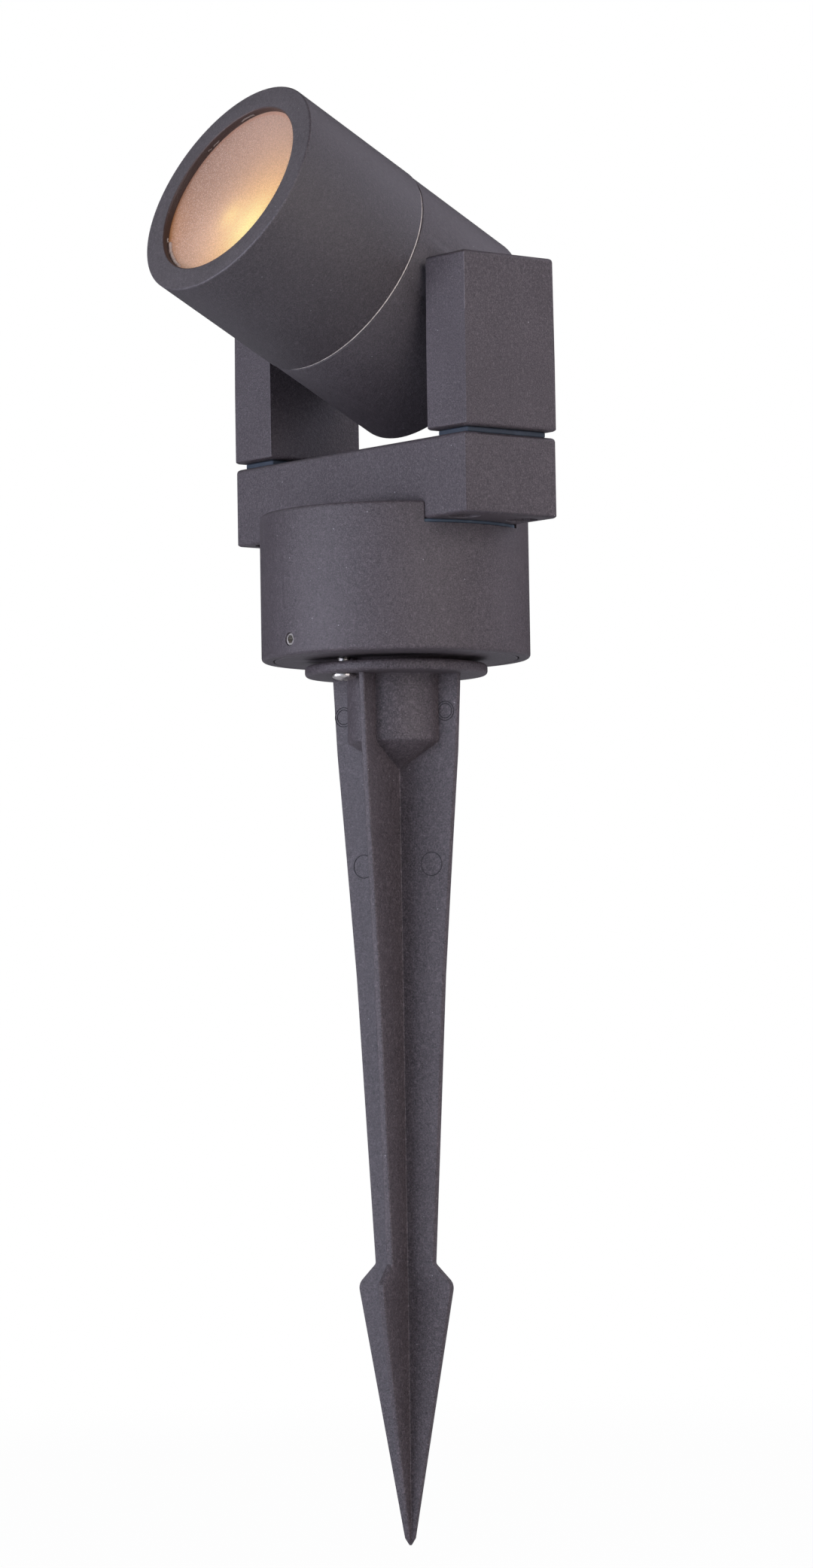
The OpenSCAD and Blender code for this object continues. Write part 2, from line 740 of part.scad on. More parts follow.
module friction_washers() {
    color("black") both_pivots() translate([0, 0, boss_face])
        flat_ring(side_boss_r - edge_r, pivot_r + fit_clear, washer_t);
}

module seam_ring() {
    color("whitesmoke") head_frame() translate([0, 0, seam_ahead])
        flat_ring(housing_r - housing_step, spigot_r + fit_clear, seam_t);
}

module hood_o_ring() {
    section_r = ring_section / 2 - fit_clear / 2;
    color("black") head_frame() translate([0, 0, seam_ahead + spigot_len / 3])
        rotate_extrude() translate([spigot_r + fit_clear - section_r, 0])
            circle(r = section_r, $fn = small_fn);
}

module lamp_holder() {
    color("white") head_frame() difference() {
        translate([0, 0, holder_z]) linear_extrude(holder_h)
            polygon(rounded(
                [[-holder_l / 2, -holder_w / 2], [holder_l / 2, -holder_w / 2],
                 [holder_l / 2, holder_w / 2], [-holder_l / 2, holder_w / 2]],
                [block_round, block_round, block_round, block_round]));
        for (s = sides)
            translate([s * pin_pitch / 2, 0, lamp_back - pin_len - overrun])
                cylinder(r = pin_r + fit_clear, h = holder_h, $fn = small_fn);
    }
}

module holder_bracket() {
    reach = strap_y + post_r;
    color("lightgray") head_frame() difference() {
        translate([0, 0, strap_z]) linear_extrude(strap_t)
            polygon(rounded(
                [[-strap_w / 2, -reach], [strap_w / 2, -reach], [strap_w / 2, reach],
                 [-strap_w / 2, reach]],
                [strap_t, strap_t, strap_t, strap_t]));
        for (s = sides)
            translate([0, s * strap_y, strap_z - overrun])
                cylinder(r = post_screw_d / 2 + fit_clear, h = strap_t + 2 * overrun, $fn = small_fn);
    }
}

module bracket_screws() {
    color("silver") head_frame() for (s = sides)
        translate([0, s * strap_y, strap_z + strap_t])
            pan_screw(post_screw_d, strap_t + strap_z + rear_behind - housing_wall - overrun);
}

// Points of the lamp's bowl, a quarter of an ellipse from the neck up to the rim.
function bowl_curve(neck_r, rim_r, low, high) =
    [for (i = [0 : 2 * corner_steps])
        let (a = quarter * i / (2 * corner_steps))
        [neck_r + (rim_r - neck_r) * sin(a), low + (high - low) * (1 - cos(a))]];

// Glass reflector lamp, open in front: the bowl, the bulb on its floor, the base and the two pins.
module lamp() {
    neck_z = lamp_back + lamp_base_h;
    outside = bowl_curve(lamp_neck_r, lamp_r, neck_z, lamp_front);
    inside = bowl_curve(bulb_r, lamp_r - lamp_glass_t, neck_z + lamp_glass_t, lamp_front);
    back_in = [for (i = [len(inside) - 1 : -1 : 0]) inside[i]];
    color("lightsteelblue") head_frame() union() {
        rotate_extrude() polygon(concat(
            [[0, neck_z - lamp_glass_t], [lamp_neck_r, neck_z - lamp_glass_t]], outside, back_in,
            [[bulb_r, neck_z + bulb_h - bulb_r], [bulb_r / 2, neck_z + bulb_h], [0, neck_z + bulb_h]]));
        translate([0, 0, lamp_back + lamp_base_h / 2])
            cube([lamp_neck_r * 1.5, lamp_neck_r, lamp_base_h], center = true);
        for (s = sides)
            translate([s * pin_pitch / 2, 0, lamp_back - pin_len])
                cylinder(r = pin_r, h = pin_len + overrun, $fn = small_fn);
    }
}

// The lamp's lead, from the holder's side out through the hollow bolt in the right arm.
module lamp_lead() {
    start_x = holder_l / 2 + thread_clear;
    bend_x = side_boss_in - lead_d;
    color("black") head_frame() lead([
        [start_x, holder_z + holder_h / 2], [start_x + lead_d, holder_z + holder_h / 2],
        [bend_x, 0], [bolt_end, 0]]);
}

module front_hood() {
    color("dimgray") head_frame() rotate_extrude() polygon(rounded([
        [hood_in_r, hood_z], [head_r, hood_z], [head_r, front_ahead], [aperture_r, front_ahead],
        [aperture_r, front_ahead - lip_t], [seat_r, front_ahead - lip_t],
        [seat_r, lens_z - gasket_t], [snap_r, lens_z - gasket_t], [snap_r, snap_z],
        [seat_r, snap_z], [seat_r, snap_z - snap_t], [hood_in_r, snap_z - snap_t - hood_wall]],
        [0, edge_r, rim_round, edge_r, 0, 0, 0, 0, 0, 0, 0, 0]));
}

module lens() {
    color("wheat") head_frame() translate([0, 0, lens_z])
        rotate_extrude() polygon(rounded(
            [[0, 0], [lens_r, 0], [lens_r, lens_t], [0, lens_t]], [0, edge_r, edge_r, 0]));
}

// A thin bead of clear sealant in the corner between the lens and the lip.
module lens_sealant() {
    bead = lip_t * 0.3;
    color("white") head_frame() translate([0, 0, front_ahead - lip_t])
        rotate_extrude() polygon([[aperture_r - bead, 0], [aperture_r, 0], [aperture_r, bead]]);
}

module lens_gasket() {
    color("black") head_frame() translate([0, 0, lens_z - gasket_t])
        flat_ring(lens_r, aperture_r, gasket_t);
}

module retaining_ring() {
    color("silver") head_frame() translate([0, 0, snap_z])
        flat_ring(snap_r - fit_clear, aperture_r, snap_t - fit_clear);
}

ground_spike();
flange_screws();
swivel_plate();
plate_o_ring();
cable_grommet();
terminal_block();
terminal_screws();
base_cup();
grub_screws();
slot_gasket();
crossbar();
cup_screws();
arm_gasket_left();
arm_gasket_right();
arm_left();
arm_right();
arm_screws();
feed_lead();
rear_housing();
pivot_bolts();
bolt_washers();
friction_washers();
seam_ring();
hood_o_ring();
lamp_holder();
holder_bracket();
bracket_screws();
lamp();
lamp_lead();
front_hood();
lens();
lens_sealant();
lens_gasket();
retaining_ring();
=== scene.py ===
"""Landscape spotlight on a ground spike: the looks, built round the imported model.

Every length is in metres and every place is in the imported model's own frame.
"""

import logging
import math
from dataclasses import dataclass
from enum import Enum
from typing import Any, Iterable, Optional, Sequence, Union

import bmesh
import bpy
from mathutils import Euler, Matrix, Vector


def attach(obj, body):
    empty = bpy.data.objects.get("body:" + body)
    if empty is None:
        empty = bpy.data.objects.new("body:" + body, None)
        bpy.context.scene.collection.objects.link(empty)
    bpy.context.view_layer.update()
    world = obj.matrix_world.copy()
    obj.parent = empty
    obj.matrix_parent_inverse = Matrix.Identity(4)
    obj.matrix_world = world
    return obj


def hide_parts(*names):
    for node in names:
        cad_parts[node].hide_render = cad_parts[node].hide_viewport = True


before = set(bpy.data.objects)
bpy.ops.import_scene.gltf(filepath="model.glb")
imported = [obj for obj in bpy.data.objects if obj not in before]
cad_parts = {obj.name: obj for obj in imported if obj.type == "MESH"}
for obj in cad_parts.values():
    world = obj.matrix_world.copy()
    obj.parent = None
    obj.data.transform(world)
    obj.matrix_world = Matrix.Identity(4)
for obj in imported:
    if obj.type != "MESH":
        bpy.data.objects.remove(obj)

LOG = logging.getLogger("spotlight")
Point = tuple[float, float, float]
Pair = tuple[float, float]
Colour = tuple[float, float, float, float]
Operand = Union["Value", float]
MM = 0.001
SIDES = (-1, 1)
QUARTER_TURN = math.pi / 2
ON_AXIS = 1e-9
WHITE: Colour = (1.0, 1.0, 1.0, 1.0)
BLACK: Colour = (0.0, 0.0, 0.0, 1.0)
RIM = "rim"
TURN = "turn"
REACH = "reach"


class Body(Enum):
    """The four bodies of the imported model."""

    SPIKE = "spike"
    BASE = "base"
    HEAD = "head"
    HOOD = "hood"


class Slot(Enum):
    """The record's material slots."""

    CAST = "cast_bronze"
    SPIKE = "spike_bronze"
    GASKET = "gasket_blue"
    RUBBER = "black_rubber"
    SILICONE = "clear_silicone"
    STEEL = "bright_steel"
    BRASS = "brass_terminal"
    CERAMIC = "white_ceramic"
    SLEEVE = "lead_sleeve"
    FROSTED = "frosted_glass"
    LAMP = "lamp_glass"


def tone(red: float, green: float, blue: float) -> Colour:
    """Turns a screen colour, 0 to 255, into the linear colour that a socket takes.

    Args:
        red: Screen red.
        green: Screen green.
        blue: Screen blue.

    Returns:
        Linear red, green, blue and full alpha.
    """
    knee, toe, offset, gain, power = 0.04045, 12.92, 0.055, 1.055, 2.4

    def line(value: float) -> float:
        """Linear value of one screen channel."""
        share = value / 255
        return share / toe if share <= knee else ((share + offset) / gain) ** power

    return line(red), line(green), line(blue), 1.0


def scaled(colour: Point, share: float) -> Colour:
    """The linear colour of a screen colour that is made darker or lighter by a share."""
    return tone(*(share * channel for channel in colour))


def placed(name: str, data: Any) -> bpy.types.Object:
    """Puts a mesh, a lamp or a camera into the scene.

    Args:
        name: The new object's name.
        data: What it shows.

    Returns:
        The object.
    """
    made = bpy.data.objects.new(name, data)
    bpy.context.scene.collection.objects.link(made)
    return made


class Value:
    """A number that changes over a surface: one output socket, used in Python expressions."""

    def __init__(self, tree: "Tree", socket: bpy.types.NodeSocket) -> None:
        """Keeps the socket and the tree that its Math nodes go into."""
        self.tree = tree
        self.socket = socket

    def __add__(self, other: Operand) -> "Value":
        """Sum."""
        return self.tree.math("ADD", self, other)

    __radd__ = __add__

    def __sub__(self, other: Operand) -> "Value":
        """Difference."""
        return self.tree.math("SUBTRACT", self, other)

    def __rsub__(self, other: Operand) -> "Value":
        """Difference, with this value taken away."""
        return self.tree.math("SUBTRACT", other, self)

    def __mul__(self, other: Operand) -> "Value":
        """Product."""
        return self.tree.math("MULTIPLY", self, other)

    def __truediv__(self, other: Operand) -> "Value":
        """Quotient."""
        return self.tree.math("DIVIDE", self, other)

    def __pow__(self, other: Operand) -> "Value":
        """Power."""
        return self.tree.math("POWER", self, other)

    def __neg__(self) -> "Value":
        """The value with its sign changed."""
        return self.tree.math("MULTIPLY", self, -1.0)

    def most(self, other: Operand) -> "Value":
        """The larger of this value and another."""
        return self.tree.math("MAXIMUM", self, other)

    def step(self, low: float, high: float) -> "Value":
        """Smooth step from 0 at low to 1 at high; low may be the larger one.

        Args:
            low: Value where the step is 0.
            high: Value where the step is 1.

        Returns:
            The step, from 0 to 1.
        """
        ends = {0: self, 1: low, 2: high, 3: 0.0, 4: 1.0}
        node = self.tree.node("ShaderNodeMapRange", ends, interpolation_type="SMOOTHSTEP")
        return Value(self.tree, node.outputs[0])


class Tree:
    """A node tree of any kind, with its nodes made by short calls."""

    def __init__(self, tree: bpy.types.NodeTree) -> None:
        """Keeps the tree."""
        self.tree = tree

    def node(
        self, kind: str, inputs: Optional[dict[Union[str, int], Any]] = None, **settings: Any
    ) -> bpy.types.Node:
        """Adds a node, with its settings first and then its sockets.

        Args:
            kind: Blender's name for the type of node.
            inputs: Values, colours or links, by the socket's name or number.
            settings: Attributes of the node.

        Returns:
            The node.
        """
        made = self.tree.nodes.new(kind)
        for name, setting in settings.items():
            setattr(made, name, setting)
        for key, given in (inputs or {}).items():
            socket = made.inputs[key]
            source = given.socket if isinstance(given, Value) else given
            if isinstance(source, bpy.types.NodeSocket):
                self.tree.links.new(source, socket)
            else:
                socket.default_value = source
        return made

    def math(self, operation: str, *values: Operand) -> Value:
        """A Math node.

        Args:
            operation: Its operation.
            values: One or two values or numbers.

        Returns:
            Its result.
        """
        made = self.node("ShaderNodeMath", dict(enumerate(values)), operation=operation)
        return Value(self, made.outputs[0])


class Shader(Tree):
    """One material."""

    def __init__(self, name: str) -> None:
        """Starts an empty material.

        Args:
            name: The material's name.
        """
        self.material = bpy.data.materials.new(name)
        self.material.use_nodes = True
        super().__init__(self.material.node_tree)
        self.tree.nodes.clear()
        self.place = self.node("ShaderNodeTexCoord").outputs["Object"]

    def noise(self, size: float, detail: float = 2.0, roughness: float = 0.5) -> Value:
        """Fractal noise from 0 to 1.

        Args:
            size: Width of its largest blotches, in metres.
            detail: Number of finer octaves.
            roughness: Share that each finer octave keeps.

        Returns:
            The noise.
        """
        shape = {"Scale": 1 / size, "Detail": detail, "Roughness": roughness}
        made = self.node("ShaderNodeTexNoise", {"Vector": self.place, **shape})
        return Value(self, made.outputs["Fac"])

    def cells(self, size: float) -> Value:
        """Distance from the middle of the nearest random cell, in cells of a width in metres."""
        made = self.node("ShaderNodeTexVoronoi", {"Vector": self.place, "Scale": 1 / size})
        return Value(self, made.outputs["Distance"])

    def along(self, axis: str, place: Any = None) -> Value:
        """One coordinate, X, Y or Z, of the object or of other coordinates, in metres."""
        split = self.node("ShaderNodeSeparateXYZ", {0: place or self.place})
        return Value(self, split.outputs[axis])

    def reach(self, place: Any) -> Value:
        """Distance from the Z axis of some coordinates, in metres."""
        return (self.along("X", place) ** 2 + self.along("Y", place) ** 2) ** 0.5

    def far(self, place: Any, centre: Sequence[float]) -> Value:
        """Distance of some coordinates from a centre, in metres."""
        ends = {0: place, 1: tuple(centre)}
        made = self.node("ShaderNodeVectorMath", ends, operation="DISTANCE")
        return Value(self, made.outputs["Value"])

    def blob(self, place: Any, centre: Sequence[float], spread: float) -> Value:
        """A round bell of light: 1 at its centre and about a third at its spread."""
        return self.math("EXPONENT", -((self.far(place, centre) / spread) ** 2))

    def turned(self, axis: "TiltedAxis") -> bpy.types.NodeSocket:
        """Object coordinates about a tilted axis, which becomes their Z axis.

        Args:
            axis: The tilted axis.

        Returns:
            The coordinates.
        """
        ends = {0: self.place, 1: axis.centre}
        moved = self.node("ShaderNodeVectorMath", ends, operation="SUBTRACT")
        turn = {"Vector": moved.outputs[0], "Rotation": (axis.turn, 0, 0)}
        return self.node("ShaderNodeMapping", turn).outputs[0]

    def mark(self, name: str) -> Value:
        """A named value of the mesh, such as its narrow edge faces."""
        made = self.node("ShaderNodeAttribute", attribute_name=name)
        return Value(self, made.outputs["Fac"])

    def mix(
        self, first: Any, second: Any, factor: Any, blend: str = "MIX"
    ) -> bpy.types.NodeSocket:
        """Mixes two colours.

        Args:
            first: Colour at factor 0.
            second: Colour at factor 1.
            factor: Value or number.
            blend: Blender's name for the way of mixing.

        Returns:
            The mixed colour's socket.
        """
        given = {0: factor, 6: first, 7: second}
        kind = {"data_type": "RGBA", "blend_type": blend, "clamp_factor": True}
        return self.node("ShaderNodeMix", given, **kind).outputs[2]

    def bump(self, height: Value, depth: float) -> bpy.types.NodeSocket:
        """A normal that follows a height, where a height of 1 stands for a depth in metres."""
        given = {"Strength": 1.0, "Distance": depth, "Height": height}
        return self.node("ShaderNodeBump", given).outputs[0]

    def surface(self, **inputs: Any) -> None:
        """Adds the main shader and links it to the output.

        Args:
            inputs: Its sockets, with spaces written as underscores.
        """
        names = {key.replace("_", " "): given for key, given in inputs.items()}
        self.out(self.node("ShaderNodeBsdfPrincipled", names).outputs[0])

    def out(self, socket: bpy.types.NodeSocket) -> None:
        """Links a shader to the material's output."""
        self.node("ShaderNodeOutputMaterial", {"Surface": socket})


@dataclass(frozen=True)
class TiltedAxis:
    """The lamp's axis at the lens's front, as patterns on the lens and the hood follow it."""

    centre: Point
    turn: float


@dataclass(frozen=True)
class Finish:
    """A finish, which paints one material."""

    name: str

    def material(self) -> bpy.types.Material:
        """Builds the material.

        Returns:
            The material.
        """
        s = Shader(self.name)
        self.paint(s)
        return s.material

    def paint(self, s: Shader) -> None:
        """Adds the finish's nodes to an empty material."""
        raise NotImplementedError


@dataclass(frozen=True)
class LitMouth:
    """The front of the hood: painted lamplight on the wall of its mouth, and painted shade on the
    hood's side behind it.
    """

    axis: TiltedAxis
    reach: float = 24 * MM
    soft_edge: float = 0.2 * MM
    depth: float = 0.3 * MM
    # Painted lamplight: warm light from the lens, as reflected on the wall of the mouth.
    colour: Point = (70, 47, 38)
    weight: float = 0.8
    flank_shade: float = 0.62
    flank_shade_span: Pair = (2.1 * MM, 1.5 * MM)


@dataclass(frozen=True)
class PowderCoat(Finish):
    """Fine-textured bronze powder coat on a casting."""

    colour: Point = (84, 77, 80)
    cloud_colour: Point = (78, 71, 74)
    speck_colour: Point = (176, 172, 176)
    worn_and_highlit_colour: Point = (138, 132, 136)
    grain: float = 0.34 * MM
    grain_depth: float = 0.1 * MM
    grain_fineness: float = 0.62
    pit_span: Pair = (0.5, 0.3)
    top_span: Pair = (0.5, 0.7)
    contrast: float = 0.32
    contrast_weight: float = 0.7
    coarse_size: float = 2.7
    coarse_weight: float = 0.5
    coarse_height: float = 0.8
    coarse_pit_span: Pair = (0.45, 0.25)
    coarse_top_span: Pair = (0.55, 0.75)
    cloud: float = 16 * MM
    cloud_span: Pair = (0.3, 0.7)
    speck_cell: float = 4.2 * MM
    speck_reach: float = 0.045
    speck_weight: float = 0.8
    roughness: float = 0.5
    grain_gloss: float = 0.25
    grain_middle: float = 0.5
    sheen: float = 0.4
    wear_and_highlight: float = 0.3
    worn_and_highlit_span: Pair = (0.3, 0.56)
    worn_gloss: float = 0.1
    mouth: Optional[LitMouth] = None

    def paint(self, s: Shader) -> None:
        """Adds the grain, clouds, specks, pale edges that are partly rubbed and partly painted
        highlight, and the hood's painted light and shade.

        Args:
            s: The empty material.
        """
        grain = s.noise(self.grain, roughness=self.grain_fineness)
        coarse = s.noise(self.grain * self.coarse_size, detail=1.0)
        clouds = s.noise(self.cloud, detail=3.0)
        specks = s.cells(self.speck_cell).step(self.speck_reach, self.speck_reach / 2)
        pits = coarse.step(*self.coarse_pit_span) * self.coarse_weight
        pits = grain.step(*self.pit_span) + pits
        tops = coarse.step(*self.coarse_top_span) * self.coarse_weight
        tops = grain.step(*self.top_span) + tops
        # Pale narrow edges: partly rubbed coat, partly painted highlight where the edges catch the
        # light.
        worn_and_highlit = s.mark(RIM) * coarse.step(*self.worn_and_highlit_span)
        colour = s.mix(tone(*self.cloud_colour), tone(*self.colour), clouds.step(*self.cloud_span))
        for target, weight in (
            (scaled(self.colour, 1 - self.contrast), pits * self.contrast_weight),
            (scaled(self.colour, 1 + self.contrast), tops * self.contrast_weight),
            (tone(*self.worn_and_highlit_colour), worn_and_highlit * self.wear_and_highlight),
            (tone(*self.speck_colour), specks * self.speck_weight),
        ):
            colour = s.mix(colour, target, weight)
        if self.mouth:
            colour = self._lit(s, colour, self.mouth)
        s.surface(
            Base_Color=colour,
            Roughness=(self.roughness + (grain - self.grain_middle) * self.grain_gloss)
            - worn_and_highlit * self.worn_gloss,
            Specular_IOR_Level=self.sheen,
            Normal=s.bump(grain + coarse * self.coarse_height, self.grain_depth),
        )

    @staticmethod
    def _lit(s: Shader, colour: bpy.types.NodeSocket, mouth: LitMouth) -> bpy.types.NodeSocket:
        """Adds the painted lamplight in the hood's mouth and the painted shade on the side behind
        it.

        Args:
            s: The material.
            colour: The coat's colour.
            mouth: The mouth.

        Returns:
            The changed colour.
        """
        place = s.turned(mouth.axis)
        ahead = s.along("Z", place).step(-mouth.depth, 0.0)
        wall = s.reach(place).step(mouth.reach, mouth.reach - mouth.soft_edge) * ahead
        lit = s.mix(colour, tone(*mouth.colour), wall * mouth.weight)
        # Painted shade: the hood's side behind the mouth is made darker.
        behind = s.along("Z", place).step(*mouth.flank_shade_span)
        return s.mix(lit, (mouth.flank_shade, mouth.flank_shade, mouth.flank_shade, 1.0), behind, "MULTIPLY")


@dataclass(frozen=True)
class Rubber(Finish):
    """Moulded rubber or gasket sheet."""

    colour: Point
    dust_colour: Point
    grain: float = 0.5 * MM
    grain_depth: float = 0.02 * MM
    grain_weight: float = 0.15
    dust_size: float = 9.0
    dust_span: Pair = (0.5, 0.75)
    dust_weight: float = 0.5
    dust_gloss: float = 0.15
    dust_middle: float = 0.4
    roughness: float = 0.7
    sheen: float = 0.4

    def paint(self, s: Shader) -> None:
        """Adds the grain and the dust.

        Args:
            s: The empty material.
        """
        grain = s.noise(self.grain)
        dust = s.noise(self.grain * self.dust_size, detail=4.0).step(*self.dust_span)
        dusty = dust * self.dust_weight + grain * self.grain_weight
        s.surface(
            Base_Color=s.mix(tone(*self.colour), tone(*self.dust_colour), dusty),
            Roughness=self.roughness + (dust - self.dust_middle) * self.dust_gloss,
            Specular_IOR_Level=self.sheen,
            Normal=s.bump(grain, self.grain_depth),
        )


@dataclass(frozen=True)
class PlatedMetal(Finish):
    """Turned or pressed metal with fine tool marks."""

    colour: Point
    stain_colour: Point
    roughness: float = 0.24
    mark: float = 0.12 * MM
    mark_depth: float = 0.004 * MM
    mark_gloss: float = 0.06
    stain_size: float = 22.0
    stain_fineness: float = 0.6
    stain_span: Pair = (0.48, 0.78)
    stain_weight: float = 0.7
    dull_span: Pair = (0.4, 0.8)
    stain_gloss: float = 0.25

    def paint(self, s: Shader) -> None:
        """Adds the tool marks and the stains.

        Args:
            s: The empty material.
        """
        marks = s.noise(self.mark)
        stains = s.noise(self.mark * self.stain_size, 4.0, self.stain_fineness)
        stained = stains.step(*self.stain_span) * self.stain_weight
        dull = stains.step(*self.dull_span) * self.stain_gloss
        s.surface(
            Base_Color=s.mix(tone(*self.colour), tone(*self.stain_colour), stained),
            Metallic=1.0,
            Roughness=self.roughness + dull + marks * self.mark_gloss,
            Normal=s.bump(marks, self.mark_depth),
        )


@dataclass(frozen=True)
class Ceramic(Finish):
    """Fired steatite with fine dark pores."""

    colour: Point = (226, 221, 208)
    pore_colour: Point = (170, 160, 142)
    pore: float = 0.9 * MM
    pore_depth: float = 0.03 * MM
    pore_span: Pair = (0.16, 0.06)
    pore_weight: float = 0.7
    cloud_size: float = 8.0
    cloud_span: Pair = (0.5, 0.9)
    cloud_weight: float = 0.2
    cloud_gloss: float = 0.15
    roughness: float = 0.48

    def paint(self, s: Shader) -> None:
        """Adds the pores and the clouds.

        Args:
            s: The empty material.
        """
        pores = s.cells(self.pore).step(*self.pore_span)
        clouds = s.noise(self.pore * self.cloud_size, detail=3.0)
        cloudy = clouds.step(*self.cloud_span) * self.cloud_weight
        dark = pores * self.pore_weight + cloudy
        s.surface(
            Base_Color=s.mix(tone(*self.colour), tone(*self.pore_colour), dark),
            Roughness=self.roughness + clouds * self.cloud_gloss,
            Normal=s.bump(1 - pores, self.pore_depth),
        )


@dataclass(frozen=True)
class Sleeve(Finish):
    """Glass-fibre sleeve on a lead, with its crossed braid."""

    colour: Point = (42, 41, 43)
    strand_colour: Point = (86, 84, 82)
    strand: float = 0.45 * MM
    strand_depth: float = 0.05 * MM
    strand_span: Pair = (-0.4, 0.6)
    strand_weight: float = 0.8
    strand_gloss: float = 0.1
    cross: float = 1.3
    roughness: float = 0.8

    def paint(self, s: Shader) -> None:
        """Adds the two sets of strands.

        Args:
            s: The empty material.
        """
        x, y, z = (s.along(axis) for axis in "XYZ")
        turn = 2 * math.pi / self.strand
        one = s.math("SINE", (x + y * self.cross + z) * turn)
        two = s.math("SINE", (x + y * self.cross - z) * turn)
        braid = (one * two).step(*self.strand_span)
        strands = braid * self.strand_weight
        s.surface(
            Base_Color=s.mix(tone(*self.colour), tone(*self.strand_colour), strands),
            Roughness=self.roughness - braid * self.strand_gloss,
            Normal=s.bump(braid, self.strand_depth),
        )


@dataclass(frozen=True)
class Silicone(Finish):
    """Milky clear sealant."""

    colour: Point = (166, 148, 136)
    roughness: float = 0.3
    clear: float = 0.45
    lump: float = 0.9 * MM
    lump_depth: float = 0.08 * MM
    lump_span: Pair = (0.4, 0.8)
    lump_gloss: float = 0.15
    shade: float = 0.8
    bending: float = 1.41

    def paint(self, s: Shader) -> None:
        """Adds the lumps.

        Args:
            s: The empty material.
        """
        lumps = s.noise(self.lump)
        dark = scaled(self.colour, self.shade)
        s.surface(
            Base_Color=s.mix(tone(*self.colour), dark, lumps.step(*self.lump_span)),
            Roughness=self.roughness + lumps * self.lump_gloss,
            Transmission_Weight=self.clear,
            IOR=self.bending,
            Normal=s.bump(lumps, self.lump_depth),
        )


@dataclass(frozen=True)
class Glow:
    """One round patch of painted lamplight on the lens, in millimetres in the lens's own plane."""

    x: float
    y: float
    spread: float
    colour: Point


@dataclass(frozen=True)
class FrostedLens(Finish):
    """Sandblasted glass, with the lamp's warm light behind it painted on as glow."""

    axis: TiltedAxis
    glass: Point = (178, 137, 112)
    shade: Point = (147, 108, 88)
    rim_glow_colour: Point = (176, 98, 56)
    rim_reach: float = 23.0 * MM
    rim_width: float = 0.5 * MM
    rim_glow_weight: float = 0.35
    grit_glint: Point = (224, 198, 182)
    grit_glint_cell: float = 1.35
    grit_glint_span: Pair = (0.42, 0.16)
    grit_glint_least: float = 0.15
    grit_glint_more: float = 0.45
    glint_side_span: Pair = (0.6, -0.8)
    grain: float = 0.36 * MM
    grain_depth: float = 0.1 * MM
    grain_detail: float = 2.5
    grain_fineness: float = 0.65
    grain_span: Pair = (0.38, 0.62)
    grain_light: float = 0.52
    grain_weight: float = 0.8
    blotch_size: float = 12.0
    roughness: float = 0.45
    grain_gloss: float = 0.2
    sheen: float = 0.4
    glows: Sequence[Glow] = (
        Glow(17.1, 30.0, 40.0, (0.233, 0.169, 0.156)),
        Glow(2.8, -7.5, 3.8, (0.153, 0.156, 0.029)),
        Glow(17.3, -13.7, 18.4, (0.67, 0.367, 0.078)),
        Glow(-30.0, -12.4, 14.3, (0.206, 0.072, 0.0)),
        Glow(13.9, -12.6, 7.2, (0.0, 0.252, 0.119)),
        Glow(-2.6, -12.8, 13.0, (0.156, 0.115, 0.113)),
    )

    def paint(self, s: Shader) -> None:
        """Adds the frost, bright specks painted as glints, a painted warm rim of lamplight and the
        painted glow of the lamp.

        Args:
            s: The empty material.
        """
        place = s.turned(self.axis)
        grain = s.noise(self.grain, self.grain_detail, self.grain_fineness)
        blotch = s.noise(self.grain * self.blotch_size, detail=3.0)
        # Painted glints: bright specks in the frost, more of them towards -X of the lens.
        sparkle = s.cells(self.grain * self.grit_glint_cell).step(*self.grit_glint_span)
        clear = s.along("X", place).step(*(self.rim_reach * end for end in self.glint_side_span))
        spots = grain.step(*self.grain_span) * self.grain_weight
        mottle = spots + blotch * (1 - self.grain_weight)
        frost = s.mix(tone(*self.shade), tone(*self.glass), mottle)
        grit_glints = sparkle * (self.grit_glint_least + clear * self.grit_glint_more)
        frost = s.mix(frost, tone(*self.grit_glint), grit_glints)
        # Painted lamplight: a warm orange rim round the edge of the lens.
        rim = s.reach(place).step(self.rim_reach - self.rim_width, self.rim_reach)
        s.surface(
            Base_Color=s.mix(frost, tone(*self.rim_glow_colour), rim * self.rim_glow_weight),
            Roughness=self.roughness + grain * self.grain_gloss,
            Specular_IOR_Level=self.sheen,
            Emission_Color=self._painted_lamplight(s, place, grain),
            Emission_Strength=1.0,
            Normal=s.bump(grain, self.grain_depth),
        )

    def _painted_lamplight(self, s: Shader, place: Any, grain: Value) -> Any:
        """The patches of painted lamplight, added up.

        Args:
            s: The material.
            place: Coordinates about the lens's axis.
            grain: The frost's grain, which the light shows too.

        Returns:
            The light's colour.
        """
        light: Any = BLACK
        for glow in self.glows:
            bell = s.blob(place, (glow.x * MM, glow.y * MM, 0.0), glow.spread * MM)
            speckled = bell * (1 - self.grain_light / 2 + grain * self.grain_light)
            light = s.mix(light, (*glow.colour, 1.0), speckled, "ADD")
        return light


@dataclass(frozen=True)
class LampGlass(Finish):
    """Pressed glass of the reflector lamp, coated inside."""

    colour: Point = (214, 216, 222)
    tint: Point = (168, 176, 214)
    film: float = 9 * MM
    film_span: Pair = (0.35, 0.7)
    facet: float = 2.4 * MM
    facet_depth: float = 0.1 * MM
    facet_gloss: float = 0.12
    mirror: float = 0.75
    roughness: float = 0.16

    def paint(self, s: Shader) -> None:
        """Adds the film's tint and the facets.

        Args:
            s: The empty material.
        """
        film = s.noise(self.film).step(*self.film_span)
        facets = s.cells(self.facet)
        s.surface(
            Base_Color=s.mix(tone(*self.colour), tone(*self.tint), film),
            Metallic=self.mirror,
            Roughness=self.roughness + facets * self.facet_gloss,
            Normal=s.bump(facets, self.facet_depth),
        )


